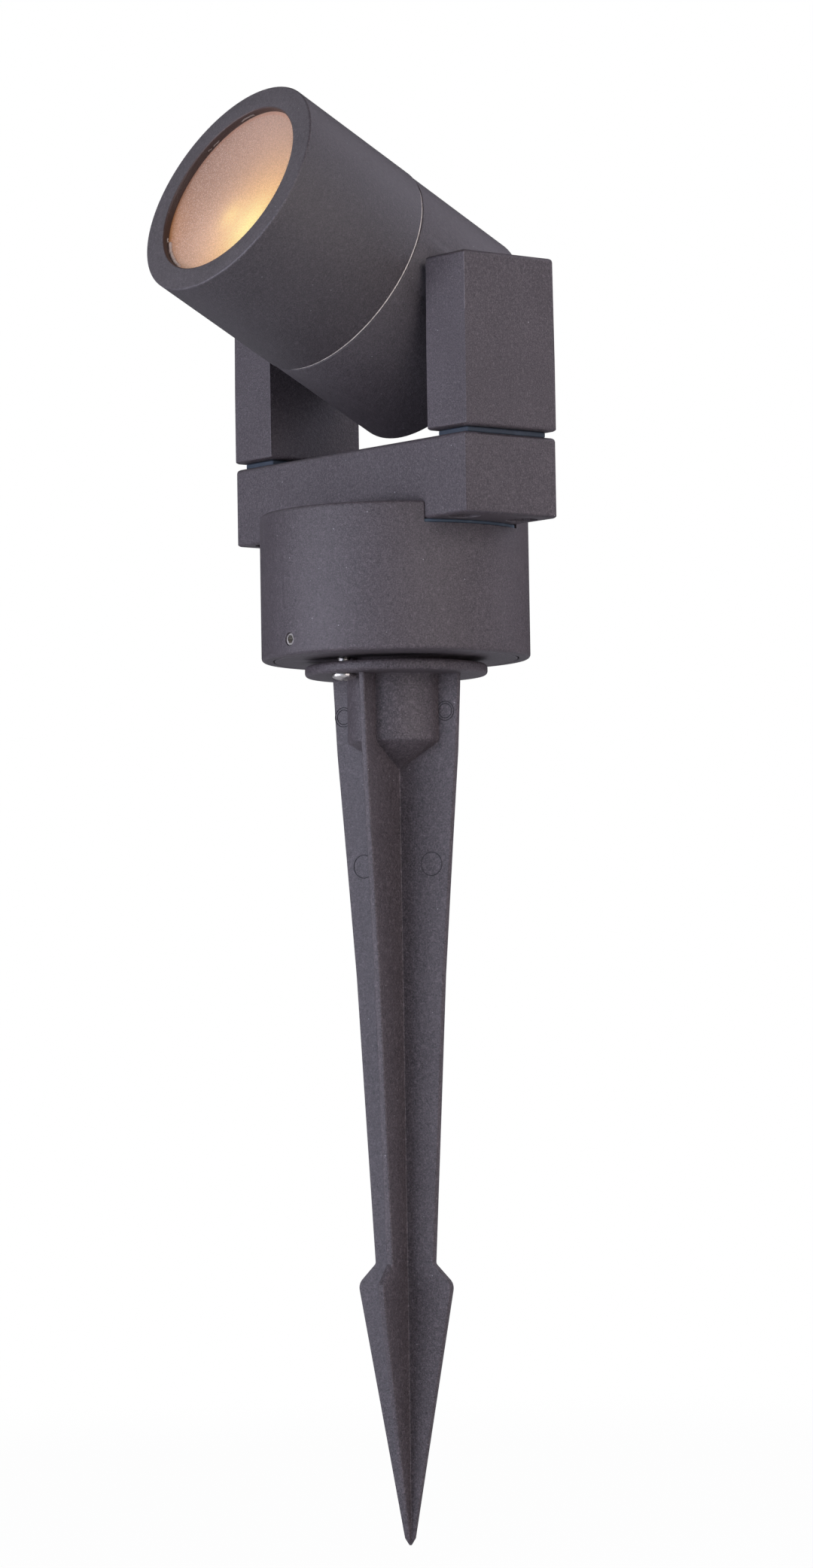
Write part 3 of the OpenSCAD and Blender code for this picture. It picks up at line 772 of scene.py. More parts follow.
@dataclass(frozen=True)
class Sizes:
    """The model's sizes that the new pieces are placed by."""

    flange_r: float = 23.5 * MM
    flange_screw_y: float = 17.0 * MM
    rib_root: float = 2.2 * MM
    rib_edge: float = 1.5 * MM
    slot_z: float = 36.2 * MM
    deck_t: float = 3 * MM
    bar_z: float = 37.05 * MM
    wireway_z: float = 48.325 * MM
    arm_z: float = 59.0 * MM
    arm_x: float = 40.15 * MM
    pivot_z: float = 96.2 * MM
    tilt: float = 26.3
    seam: float = 18.0 * MM
    seam_t: float = 0.4 * MM
    seam_inner: float = 26.85 * MM
    seam_outer: float = 29.7 * MM
    spigot_r: float = 26.7 * MM
    hood_bore_r: float = 27.0 * MM
    lens_front: float = 55.9 * MM
    lens_t: float = 3.0 * MM
    lens_r: float = 25.6 * MM
    lamp_r: float = 25.0 * MM
    lamp_back: float = 3.6 * MM
    lamp_front: float = 48.6 * MM
    boss_in: float = 23.5 * MM
    bolt_end: float = 38.6 * MM

    @property
    def head(self) -> Matrix:
        """Carries a shape drawn about the head's own axis to its place."""
        turn = Matrix.Rotation(math.radians(90 - self.tilt), 4, "X")
        return Matrix.Translation((0, 0, self.pivot_z)) @ turn

    @property
    def lens_axis(self) -> TiltedAxis:
        """The head's axis, from the middle of the lens's front face."""
        centre = self.head @ Vector((0, 0, self.lens_front))
        return TiltedAxis(tuple(centre), -math.radians(90 - self.tilt))

    @property
    def rib_slope(self) -> float:
        """How much each side of a rib draws in for each unit of its reach."""
        return (self.rib_root - self.rib_edge) / 2 / self.flange_r


@dataclass(frozen=True)
class PhotoCamera:
    """The camera at the photograph's place."""

    azimuth: float = 51.205
    elevation: float = -3.483
    roll: float = -0.9458
    distance: float = 1.32114
    aim_height: float = -0.027727
    aim_right: float = 0.00215
    lens: float = 118.0
    sensor: float = 36.0

    def build(self) -> None:
        """Makes the camera, which becomes the scene's own."""
        turn = math.radians(self.azimuth)
        level = Vector((math.cos(turn), math.sin(turn), 0))
        back = away(self.azimuth, self.elevation)
        rise = back.cross(level)
        roll = math.radians(self.roll)
        right = math.cos(roll) * level + math.sin(roll) * rise
        up = math.cos(roll) * rise - math.sin(roll) * level
        aim = Vector((0, 0, self.aim_height)) + level * self.aim_right
        data = bpy.data.cameras.new("photo_camera")
        data.lens, data.sensor_width = self.lens, self.sensor
        camera = placed("photo_camera", data)
        axes = Matrix((right, up, back)).transposed().to_4x4()
        camera.matrix_world = Matrix.Translation(aim + back * self.distance) @ axes
        bpy.context.scene.camera = camera


def away(azimuth: float, elevation: float) -> Vector:
    """The way from the object to a place, seen at angles in degrees."""
    a, e = math.radians(azimuth), math.radians(elevation)
    return Vector((math.sin(a) * math.cos(e), -math.cos(a) * math.cos(e), math.sin(e)))


@dataclass(frozen=True)
class SoftBox:
    """One soft box, aimed at the object from a fixed distance."""

    name: str
    azimuth: float
    elevation: float
    size: Pair
    power: float
    colour: Point
    distance: float = 1.6

    def build(self) -> None:
        """Makes the lamp and turns it to the object."""
        data = bpy.data.lights.new(self.name, "AREA")
        data.shape, (data.size, data.size_y) = "RECTANGLE", self.size
        data.energy, data.color = self.power, tone(*self.colour)[:3]
        lamp = placed(self.name, data)
        out = away(self.azimuth, self.elevation)
        lamp.location = out * self.distance
        lamp.rotation_euler = out.to_track_quat("Z", "Y").to_euler()
        lamp.visible_camera = False


@dataclass(frozen=True)
class Studio:
    """The pale floor, the white surround and the soft boxes."""

    floor_z: float = -0.2226
    floor_reach: float = 30.0
    floor_colour: Point = (247, 247, 248)
    own_white: float = 0.975
    shadow_reach: float = 0.35
    ambient: float = 0.01
    ambient_colour: Point = (236, 240, 255)
    reflected: float = 0.06
    boxes: Sequence[SoftBox] = (
        SoftBox("key", -5, 5, (0.9, 0.9), 12.8, (233, 237, 255)),
        SoftBox("key_low", -30, -6, (0.4, 0.25), 8.4, (235, 236, 255)),
        SoftBox("left_high", -60, 40, (1.0, 1.0), 1.8, (247, 250, 246)),
        SoftBox("front_fill", 20, 15, (1.0, 1.0), 3.9, (201, 224, 255)),
        SoftBox("right_warm", 85, 15, (1.2, 1.2), 12.6, (255, 247, 249)),
        SoftBox("right_back", 150, 20, (1.2, 1.2), 6.2, (235, 236, 255)),
        SoftBox("back_high", 180, 40, (1.2, 1.2), 4.7, (241, 236, 255)),
    )

    def build(self) -> None:
        """Makes the surround, the floor and the lamps."""
        self._world()
        self._floor()
        for box in self.boxes:
            box.build()

    def _seen(self, tree: Tree) -> Value:
        """The share of white: all for the camera and through glass, less in reflections.

        Args:
            tree: The tree that asks.

        Returns:
            The share, 0 for light on the object.
        """
        path = tree.node("ShaderNodeLightPath")
        camera, through, glossy = (
            Value(tree, path.outputs[name])
            for name in ("Is Camera Ray", "Is Transmission Ray", "Is Glossy Ray")
        )
        return camera.most(through).most(glossy * self.reflected)

    def _world(self) -> None:
        """White to the camera and through glass, a little white in reflections, plain and dimmer as
        light on the object.
        """
        world = bpy.data.worlds.new("studio")
        world.use_nodes = True
        world.node_tree.nodes.clear()
        tree = Tree(world.node_tree)
        dim = {"Color": tone(*self.ambient_colour), "Strength": self.ambient}
        plain = tree.node("ShaderNodeBackground", dim)
        white = tree.node("ShaderNodeBackground", {"Color": WHITE, "Strength": 1.0})
        ends = {0: self._seen(tree), 1: plain.outputs[0], 2: white.outputs[0]}
        both = tree.node("ShaderNodeMixShader", ends)
        tree.node("ShaderNodeOutputWorld", {"Surface": both.outputs[0]})
        bpy.context.scene.world = world

    def _floor(self) -> None:
        """A wide pale floor that the shadow still falls on."""
        shape = bmesh.new()
        bmesh.ops.create_grid(shape, x_segments=8, y_segments=8, size=self.floor_reach)
        bmesh.ops.translate(shape, verts=shape.verts, vec=(0, 0, self.floor_z))
        floor = placed("floor", finished("floor", shape))
        s = Shader("pale_floor")
        matt = s.node("ShaderNodeBsdfDiffuse", {"Color": tone(*self.floor_colour)})
        white = s.node("ShaderNodeEmission", {"Color": WHITE, "Strength": 1.0})
        centre = (0.0, 0.0, self.floor_z)
        far = s.far(s.place, centre).step(self.shadow_reach, 2 * self.shadow_reach)
        share = self._seen(s) * (self.own_white + far * (1 - self.own_white))
        ends = {0: share, 1: matt.outputs[0], 2: white.outputs[0]}
        s.out(s.node("ShaderNodeMixShader", ends).outputs[0])
        floor.data.materials.append(s.material)


class Grower(Tree):
    """A Geometry Nodes tree with named inputs, and the plain mesh that it makes."""

    def __init__(self, name: str) -> None:
        """Starts a tree with a geometry input and output.

        Args:
            name: The tree's name.
        """
        super().__init__(bpy.data.node_groups.new(name, "GeometryNodeTree"))
        for way in ("INPUT", "OUTPUT"):
            self.tree.interface.new_socket(
                "Geometry", in_out=way, socket_type="NodeSocketGeometry"
            )
        self.start = self.node("NodeGroupInput")

    def take(self, name: str, kind: str = "Float") -> bpy.types.NodeSocket:
        """Adds a named input of a kind, such as Float, Int, Object or Material."""
        self.tree.interface.new_socket(name, in_out="INPUT", socket_type="NodeSocket" + kind)
        return self.start.outputs[name]

    def named(self, name: str, kind: str) -> bpy.types.NodeSocket:
        """The field of a named attribute of the points."""
        made = self.node("GeometryNodeInputNamedAttribute", {"Name": name}, data_type=kind)
        return next(socket for socket in made.outputs if socket.enabled)

    def wire(self, path: bpy.types.NodeSocket, radius: Any, sides: int) -> bpy.types.NodeSocket:
        """Gives curves a round body.

        Args:
            path: The curves.
            radius: Radius of the body.
            sides: Number of its sides.

        Returns:
            The mesh's socket.
        """
        outline = self.circle(sides, radius)
        ends = {"Curve": path, "Profile Curve": outline, "Fill Caps": True}
        return self.node("GeometryNodeCurveToMesh", ends).outputs["Mesh"]

    def circle(self, corners: int, radius: Any) -> bpy.types.NodeSocket:
        """A circle about the Z axis."""
        given = {"Resolution": corners, "Radius": radius}
        return self.node("GeometryNodeCurvePrimitiveCircle", given, mode="RADIUS").outputs["Curve"]

    def copied(self, pattern: Any, **more: Any) -> bpy.types.NodeSocket:
        """Sets a copy of a pattern on each point, turned by the point's own turn.

        Args:
            pattern: The pattern's socket.
            more: Further sockets, such as Scale.

        Returns:
            The copies.
        """
        facing = self.node("FunctionNodeEulerToRotation", {0: self.named(TURN, "FLOAT_VECTOR")})
        points = {"Points": self.start.outputs["Geometry"], "Instance": pattern}
        given = {**points, "Rotation": facing.outputs[0], **more}
        return self.node("GeometryNodeInstanceOnPoints", given).outputs[0]

    def real(self, geometry: bpy.types.NodeSocket) -> bpy.types.NodeSocket:
        """Turns copies into geometry of their own."""
        return self.node("GeometryNodeRealizeInstances", {"Geometry": geometry}).outputs[0]

    def give(self, geometry: bpy.types.NodeSocket) -> None:
        """Ends the tree with real faces and their material."""
        ends = {"Geometry": self.real(geometry), "Material": self.take("Material", "Material")}
        dressed = self.node("GeometryNodeSetMaterial", ends)
        self.node("NodeGroupOutput", {0: dressed.outputs[0]})

    def grow(
        self,
        finish: bpy.types.Material,
        values: dict[str, Any],
        seed: Optional[bpy.types.Mesh] = None,
    ) -> bpy.types.Mesh:
        """Runs the tree and keeps its result.

        Args:
            finish: The material that the faces get.
            values: Values of the other named inputs.
            seed: Mesh that the tree starts from.

        Returns:
            A plain mesh.
        """
        carrier = placed("carrier", seed or bpy.data.meshes.new("carrier"))
        modifier = carrier.modifiers.new("grow", "NODES")
        modifier.node_group = self.tree
        given = {**values, "Material": finish}
        for item in self.tree.interface.items_tree:
            if item.item_type == "SOCKET" and item.in_out == "INPUT" and item.name in given:
                modifier[item.identifier] = given[item.name]
        return baked(carrier)


@dataclass(frozen=True)
class Helix:
    """Sizes of a helical ridge: its middle line, and the ridge's own radius."""

    radius: float
    height: float
    pitch: float
    ridge: float
    corners: int


class ThreadGrower(Grower):
    """A helical ridge about the Z axis, rising from z = 0: a screw's thread or a coiled wire."""

    def __init__(self) -> None:
        """Builds the tree."""
        super().__init__("helix_ridge")
        radius = self.take("Radius")
        given = {
            "Resolution": self.take("Corners", "Int"),
            "Rotations": self.take("Turns"),
            "Start Radius": radius,
            "End Radius": radius,
            "Height": self.take("Height"),
        }
        spiral = self.node("GeometryNodeCurveSpiral", given)
        self.give(self.wire(spiral.outputs["Curve"], self.take("Ridge"), 6))

    def wind(self, helix: Helix, finish: bpy.types.Material) -> bpy.types.Mesh:
        """Grows one ridge.

        Args:
            helix: Its sizes.
            finish: Its material.

        Returns:
            Its mesh.
        """
        values = {
            "Radius": helix.radius,
            "Height": helix.height,
            "Turns": helix.height / helix.pitch,
            "Ridge": helix.ridge,
            "Corners": helix.corners,
        }
        return self.grow(finish, values)


class RingGrower(Grower):
    """Rings on given points, each facing its own way, such as the marks of ejector pins."""

    def __init__(self) -> None:
        """Builds the tree."""
        super().__init__("pin_marks")
        rings = self.copied(self.circle(40, 1.0), Scale=self.named(REACH, "FLOAT"))
        self.give(self.wire(self.real(rings), self.take("Wire"), 8))


class StudGrower(Grower):
    """Copies of one piece on given points, such as screws in their holes."""

    def __init__(self) -> None:
        """Builds the tree."""
        super().__init__("screws_in_place")
        pattern = self.node("GeometryNodeObjectInfo", {"Object": self.take("Pattern", "Object")})
        self.give(self.copied(pattern.outputs["Geometry"]))

    def copy(
        self, piece: bpy.types.Mesh, seats: bpy.types.Mesh, finish: bpy.types.Material
    ) -> bpy.types.Mesh:
        """Copies a piece onto its seats.

        Args:
            piece: The piece.
            seats: Points with their turns.
            finish: The copies' material.

        Returns:
            The copies' mesh.
        """
        pattern = placed("pattern", piece)
        mesh = self.grow(finish, {"Pattern": pattern}, seats)
        bpy.data.objects.remove(pattern)
        return mesh


class BeadGrower(Grower):
    """An uneven bead along a part of a circle about the Z axis, such as squeezed-out sealant."""

    def __init__(self) -> None:
        """Builds the tree."""
        super().__init__("sealant_bead")
        given = {
            "Resolution": self.take("Corners", "Int"),
            "Radius": self.take("Radius"),
            "Start Angle": self.take("Start"),
            "Sweep Angle": self.take("Sweep"),
        }
        path = self.node("GeometryNodeCurveArc", given, mode="RADIUS").outputs["Curve"]
        seed = self.take("Seed", "Int")
        stray = Value(self, self.take("Stray"))
        low, high = (
            self.node("ShaderNodeCombineXYZ", {axis: stray * sign for axis in range(3)})
            for sign in SIDES
        )
        shift = self.node(
            "FunctionNodeRandomValue",
            {0: low.outputs[0], 1: high.outputs[0], "Seed": seed},
            data_type="FLOAT_VECTOR",
        )
        ends = {"Geometry": path, "Offset": shift.outputs[0]}
        moved = self.node("GeometryNodeSetPosition", ends).outputs[0]
        thinnest, thickest = 0.35, 1.3
        girth = self.node(
            "FunctionNodeRandomValue", {2: thinnest, 3: thickest, "Seed": seed}, data_type="FLOAT"
        )
        ends = {"Curve": moved, "Radius": girth.outputs[1]}
        thick = self.node("GeometryNodeSetCurveRadius", ends).outputs[0]
        self.give(self.wire(thick, self.take("Bead"), 8))


class LeadGrower(Grower):
    """A round lead along a chain of points, with eased bends."""

    def __init__(self) -> None:
        """Builds the tree."""
        super().__init__("sleeved_lead")
        path = self.node("GeometryNodeMeshToCurve", {0: self.start.outputs["Geometry"]})
        given = {
            "Curve": path.outputs[0],
            "Radius": self.take("Bend"),
            "Count": self.take("Corners", "Int"),
            "Limit Radius": True,
        }
        bent = self.node("GeometryNodeFilletCurve", given, mode="POLY").outputs[0]
        self.give(self.wire(bent, self.take("Radius"), 20))


def baked(carrier: bpy.types.Object) -> bpy.types.Mesh:
    """The plain mesh of an object with its modifiers applied; the object is used up.

    Args:
        carrier: The object.

    Returns:
        The mesh.
    """
    bpy.context.view_layer.update()
    graph = bpy.context.evaluated_depsgraph_get()
    made = bpy.data.meshes.new_from_object(carrier.evaluated_get(graph), depsgraph=graph)
    bpy.data.objects.remove(carrier)
    return made


def finished(name: str, shape: bmesh.types.BMesh) -> bpy.types.Mesh:
    """Turns a shape into a mesh; the shape is used up.

    Args:
        name: The mesh's name.
        shape: The shape.

    Returns:
        The mesh.
    """
    mesh = bpy.data.meshes.new(name)
    shape.to_mesh(mesh)
    shape.free()
    return mesh


def ring(
    shape: bmesh.types.BMesh, radius: float, height: float, steps: int, shift: float = 0.0
) -> list[bmesh.types.BMVert]:
    """Adds a ring of corners about the Z axis, or one corner on the axis.

    Args:
        shape: The shape that gets them.
        radius: The ring's radius.
        height: Its height.
        steps: Corners of a full turn.
        shift: Its turn, in corners.

    Returns:
        The corners.
    """
    count = 1 if radius < ON_AXIS else steps
    turns = [2 * math.pi * (k + shift) / steps for k in range(count)]
    return [shape.verts.new((radius * math.cos(t), radius * math.sin(t), height)) for t in turns]


def skin(shape: bmesh.types.BMesh, rings: Sequence[list[bmesh.types.BMVert]]) -> None:
    """Adds the faces between each ring and the next.

    Args:
        shape: The shape that gets them.
        rings: Rings of as many corners each, or of one.
    """
    for one, two in zip(rings, rings[1:]):
        steps = max(len(one), len(two))
        for k in range(steps if steps > 1 else 0):
            n = (k + 1) % steps
            corners = (one[k % len(one)], one[n % len(one)], two[n % len(two)], two[k % len(two)])
            shape.faces.new(tuple(dict.fromkeys(corners)))


def turned_mesh(name: str, outline: Sequence[Pair], steps: int) -> bpy.types.Mesh:
    """Turns a closed outline about the Z axis into a closed solid.

    Args:
        name: The mesh's name.
        outline: Radius and height of each corner, in order.
        steps: Corners of a full turn.

    Returns:
        The mesh, with its faces outwards.
    """
    shape = bmesh.new()
    rings = [ring(shape, radius, height, steps) for radius, height in outline]
    skin(shape, rings + rings[:1])
    bmesh.ops.recalc_face_normals(shape, faces=shape.faces)
    return finished(name, shape)


def carved(
    base: bpy.types.Mesh, steps: Sequence[tuple[str, bpy.types.Mesh]]
) -> bpy.types.Mesh:
    """Joins solids to a solid or cuts them out of it, one after another.

    Args:
        base: The solid to start with.
        steps: UNION or DIFFERENCE, and the solid for it.

    Returns:
        The finished solid.
    """
    body = placed("carved", base)
    tools = [placed("carved", mesh) for _, mesh in steps]
    for (operation, _), tool in zip(steps, tools):
        cut = body.modifiers.new("cut", "BOOLEAN")
        cut.operation, cut.object, cut.solver = operation, tool, "MANIFOLD"
    made = baked(body)
    for tool in tools:
        bpy.data.objects.remove(tool)
    return made


def rod(
    radius: float, low: float, high: float, steps: int, place: Optional[Matrix] = None
) -> bpy.types.Mesh:
    """A plain rod along the Z axis, to cut with.

    Args:
        radius: Its radius.
        low: Height of its lower end.
        high: Height of its upper end.
        steps: Corners round it.
        place: Turn and shift that bring it to its place.

    Returns:
        Its mesh.
    """
    mesh = turned_mesh("rod", [(0.0, low), (radius, low), (radius, high), (0.0, high)], steps)
    mesh.transform(place or Matrix())
    return mesh


def arc(centre: Pair, radius: float, start: float, end: float, steps: int) -> list[Pair]:
    """Points along an arc.

    Args:
        centre: Its centre.
        radius: Its radius.
        start: Angle of its first point, in degrees.
        end: Angle of its last point, in degrees.
        steps: Number of equal steps between them.

    Returns:
        The points.
    """
    turns = (math.radians(start + (end - start) * k / steps) for k in range(steps + 1))
    return [(centre[0] + radius * math.cos(t), centre[1] + radius * math.sin(t)) for t in turns]


def joined(name: str, meshes: Iterable[bpy.types.Mesh]) -> bpy.types.Mesh:
    """Puts several meshes into one.

    Args:
        name: The new mesh's name.
        meshes: The meshes, which are used up.

    Returns:
        The one mesh.
    """
    shape = bmesh.new()
    for mesh in meshes:
        shape.from_mesh(mesh)
        bpy.data.meshes.remove(mesh)
    return finished(name, shape)


def chain_mesh(points: Sequence[Vector]) -> bpy.types.Mesh:
    """A mesh of points joined in a chain."""
    mesh = bpy.data.meshes.new("chain")
    links = [(k, k + 1) for k in range(len(points) - 1)]
    mesh.from_pydata([tuple(point) for point in points], links, [])
    return mesh


def seats_mesh(
    points: Sequence[Vector], turns: Sequence[Euler], reaches: Sequence[float] = ()
) -> bpy.types.Mesh:
    """A mesh of loose points, with how the copy on each is turned and how large it is.

    Args:
        points: The points.
        turns: Each copy's turn.
        reaches: Each copy's size, where they differ.

    Returns:
        The mesh.
    """
    mesh = bpy.data.meshes.new("seats")
    mesh.from_pydata([tuple(point) for point in points], [], [])
    layer = mesh.attributes.new(TURN, "FLOAT_VECTOR", "POINT")
    for holder, turn in zip(layer.data, turns):
        holder.vector = turn
    if reaches:
        layer = mesh.attributes.new(REACH, "FLOAT", "POINT")
        layer.data.foreach_set("value", list(reaches))
    return mesh


def facing(out: Vector, spin: float = 0.0) -> Euler:
    """The turn that brings the Z axis to a direction, after a spin about itself."""
    return (out.to_track_quat("Z", "Y").to_matrix() @ Matrix.Rotation(spin, 3, "Z")).to_euler()


@dataclass(frozen=True)
class Bench:
    """Where every piece gets its finish and its place on a body."""

    finishes: dict[Slot, bpy.types.Material]
    threads: ThreadGrower
    studs: StudGrower

    def lay(
        self,
        name: str,
        mesh: bpy.types.Mesh,
        body: Body,
        slot: Slot,
        replaces: Sequence[str] = (),
        place: Optional[Matrix] = None,
        crease: Optional[float] = 32.0,
        finish: Optional[bpy.types.Material] = None,
    ) -> None:
        """Makes a finished piece of a mesh.

        Args:
            name: The piece's name.
            mesh: Its mesh.
            body: The body that it rides on.
            slot: The slot of its finish.
            replaces: CAD nodes that it stands for.
            place: Turn and shift that bring the mesh to its place.
            crease: Angle in degrees above which an edge stays sharp, or None to keep normals.
            finish: Finish in place of the slot's own.
        """
        if place is not None:
            mesh.transform(place)
        if crease is not None:
            mesh.shade_smooth()
            mesh.set_sharp_from_angle(angle=math.radians(crease))
        mesh.name = name
        mesh.materials.clear()
        mesh.materials.append(finish or self.finishes[slot])
        piece = placed(name, mesh)
        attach(piece, body.value)
        if replaces:
            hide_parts(*replaces)
        LOG.info("%s: %d faces on the %s", name, len(mesh.polygons), body.value)


@dataclass(frozen=True)
class EasedSolid:
    """A CAD solid whose edges are eased, as casting, coating or moulding leaves them."""

    node: str
    body: Body
    slot: Slot
    ease: float
    segments: int = 2
    flat_within: float = 0.12
    merge_within: float = 0.002 * MM
    edge_above: float = 28.0
    crowding: float = 0.4
    in_line: float = 0.85
    rounded: bool = False
    narrow: float = 0.4 * MM
    coat: Optional[Finish] = None

    def build(self, bench: Bench) -> None:
        """Makes the piece.

        Args:
            bench: The bench with the finishes.
        """
        finish = self.coat.material() if self.coat else bench.finishes[self.slot]
        carrier = placed("carrier", self._merged())
        for _ in range(2):
            carrier.data.materials.append(finish)
        bevel = carrier.modifiers.new("ease", "BEVEL")
        bevel.width, bevel.segments, bevel.material = self.ease, self.segments, 1
        bevel.limit_method, bevel.use_clamp_overlap = "WEIGHT", False
        bevel.harden_normals = not self.rounded
        if self.rounded:
            carrier.modifiers.new("shade", "WEIGHTED_NORMAL").keep_sharp = True
        mesh = baked(carrier)
        kinds = [0] * len(mesh.polygons)
        mesh.polygons.foreach_get("material_index", kinds)
        rim = mesh.attributes.new(RIM, "FLOAT", "FACE")
        rim.data.foreach_set("value", [float(kind) for kind in kinds])
        mesh.polygons.foreach_set("material_index", [0] * len(kinds))
        name = self.node + "_eased"
        bench.lay(name, mesh, self.body, self.slot, (self.node,), crease=None, finish=finish)

    def _weight(self, edge: bmesh.types.BMEdge) -> float:
        """How much of the ease an outer edge gets, less where a short edge leaves no room.

        Args:
            edge: An edge of the merged shape.

        Returns:
            0 for no ease to 1 for all of it.
        """
        if math.degrees(edge.calc_face_angle_signed(0.0)) < self.edge_above:
            return 0.0
        along = (edge.verts[1].co - edge.verts[0].co).normalized()
        room = self.ease / self.crowding
        for vert in edge.verts:
            for other in vert.link_edges:
                way = (other.other_vert(vert).co - vert.co).normalized()
                if other is not edge and abs(way.dot(along)) < self.in_line:
                    room = min(room, other.calc_length())
        return room * self.crowding / self.ease

    def _merged(self) -> bpy.types.Mesh:
        """The node's loose triangles as one closed shape of whole faces.

        Returns:
            The shape's mesh, where a face narrower than the limit counts as rim.
        """
        shape = bmesh.new()
        shape.from_mesh(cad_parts[self.node].data)
        bmesh.ops.remove_doubles(shape, verts=shape.verts, dist=self.merge_within)
        flat = math.radians(self.flat_within)
        bmesh.ops.dissolve_limit(shape, angle_limit=flat, verts=shape.verts, edges=shape.edges)
        for face in shape.faces:
            face.smooth = True
            if 2 * face.calc_area() < self.narrow * face.calc_perimeter():
                face.material_index = 1
        weights = shape.edges.layers.float.new("bevel_weight_edge")
        for edge in shape.edges:
            edge.smooth = math.degrees(edge.calc_face_angle_signed(0.0)) > -self.edge_above
            edge[weights] = self._weight(edge)
        mesh = finished(self.node, shape)
        for name in ("custom_normal", "sharp_face", "sharp_edge"):
            if name in mesh.attributes:
                mesh.attributes.remove(mesh.attributes[name])
        mesh.materials.clear()
        return mesh


@dataclass(frozen=True)
class PanScrew:
    """A pan-head screw with a cross recess: its head above z = 0 and its shank below."""

    diameter: float
    length: float
    pitch: float
    head_share: float = 1.8
    height_share: float = 0.46
    core_share: float = 0.86
    lead_in: float = 0.6
    side_share: float = 0.35
    flat_share: float = 0.34
    edge: float = 0.14 * MM
    recess_reach: Pair = (0.62, 1.12)
    recess_width: Pair = (0.18, 0.3)
    recess_span: Pair = (0.25, 1.3)
    thread_r_share: float = 0.98
    thread_share: float = 0.3
    thread_start: float = 0.9
    thread_short: float = 2.4

    def mesh(self, bench: Bench, finish: bpy.types.Material) -> bpy.types.Mesh:
        """Makes the screw.

        Args:
            bench: The bench with the tree that grows its thread.
            finish: Its material.

        Returns:
            Its mesh.
        """
        head = self.diameter * self.head_share / 2
        high = self.diameter * self.height_share
        core = self.diameter / 2 * self.core_share
        point = core * self.lead_in
        side = high * self.side_share
        dome = arc((0.0, 0.0), 1.0, 0, 60, 5)
        outline = [
            (0.0, -self.length),
            (point, -self.length),
            (core, -self.length + point),
            (core, 0.0),
            (head - self.edge, 0.0),
            (head, self.edge),
            *((head * x, side + (high - side) * y) for x, y in dome),
            (head * self.flat_share, high),
            (0.0, high),
        ]
        bars = [("DIFFERENCE", self._bar(head, high, turn)) for turn in (0.0, QUARTER_TURN)]
        solid = carved(turned_mesh("body", outline, 48), bars)
        rise = self.length - self.thread_short * core
        ridge = self.pitch * self.thread_share
        helix = Helix(core * self.thread_r_share, rise, self.pitch, ridge, 20)
        thread = bench.threads.wind(helix, finish)
        thread.transform(Matrix.Translation((0, 0, -self.length + self.thread_start * core)))
        return joined("screw", (solid, thread))

    def _bar(self, head: float, high: float, turn: float) -> bpy.types.Mesh:
        """One bar of the cross recess as a solid, with sides that taper in.

        Args:
            head: Radius of the head.
            high: Height of the head.
            turn: The bar's turn about the screw's axis.

        Returns:
            Its mesh.
        """
        shape = bmesh.new()
        for vert in bmesh.ops.create_cube(shape, size=1.0)["verts"]:
            end = 0 if vert.co.z < 0 else 1
            vert.co.x *= head * self.recess_reach[end]
            vert.co.y *= head * self.recess_width[end]
            vert.co.z = high * self.recess_span[end]
        mesh = finished("bar", shape)
        mesh.transform(Matrix.Rotation(turn, 4, "Z"))
        return mesh


@dataclass(frozen=True)
class Group:
    """Pieces of the light that are made together."""

    bench: Bench
    sizes: Sizes

    def build(self) -> None:
        """Makes the pieces."""
        raise NotImplementedError

    def ease(self, *solids: EasedSolid) -> None:
        """Makes the pieces that are CAD solids with eased edges."""
        for solid in solids:
            solid.build(self.bench)


@dataclass(frozen=True)
class ScrewSet:
    """Screws of one kind, on their seats."""

    node: str
    screw: PanScrew
    out: Vector
    points: Sequence[Vector]
    body: Body
    slot: Slot = Slot.STEEL
    first_spin: float = 0.35
    spin_step: float = 0.83

    def build(self, bench: Bench) -> None:
        """Makes the screws as one piece.

        Args:
            bench: The bench with the finishes.
        """
        finish = bench.finishes[self.slot]
        spins = (self.first_spin + self.spin_step * k for k in range(len(self.points)))
        seats = seats_mesh(self.points, [facing(self.out, spin) for spin in spins])
        mesh = bench.studs.copy(self.screw.mesh(bench, finish), seats, finish)
        bench.lay(self.node + "_threaded", mesh, self.body, self.slot, (self.node,))


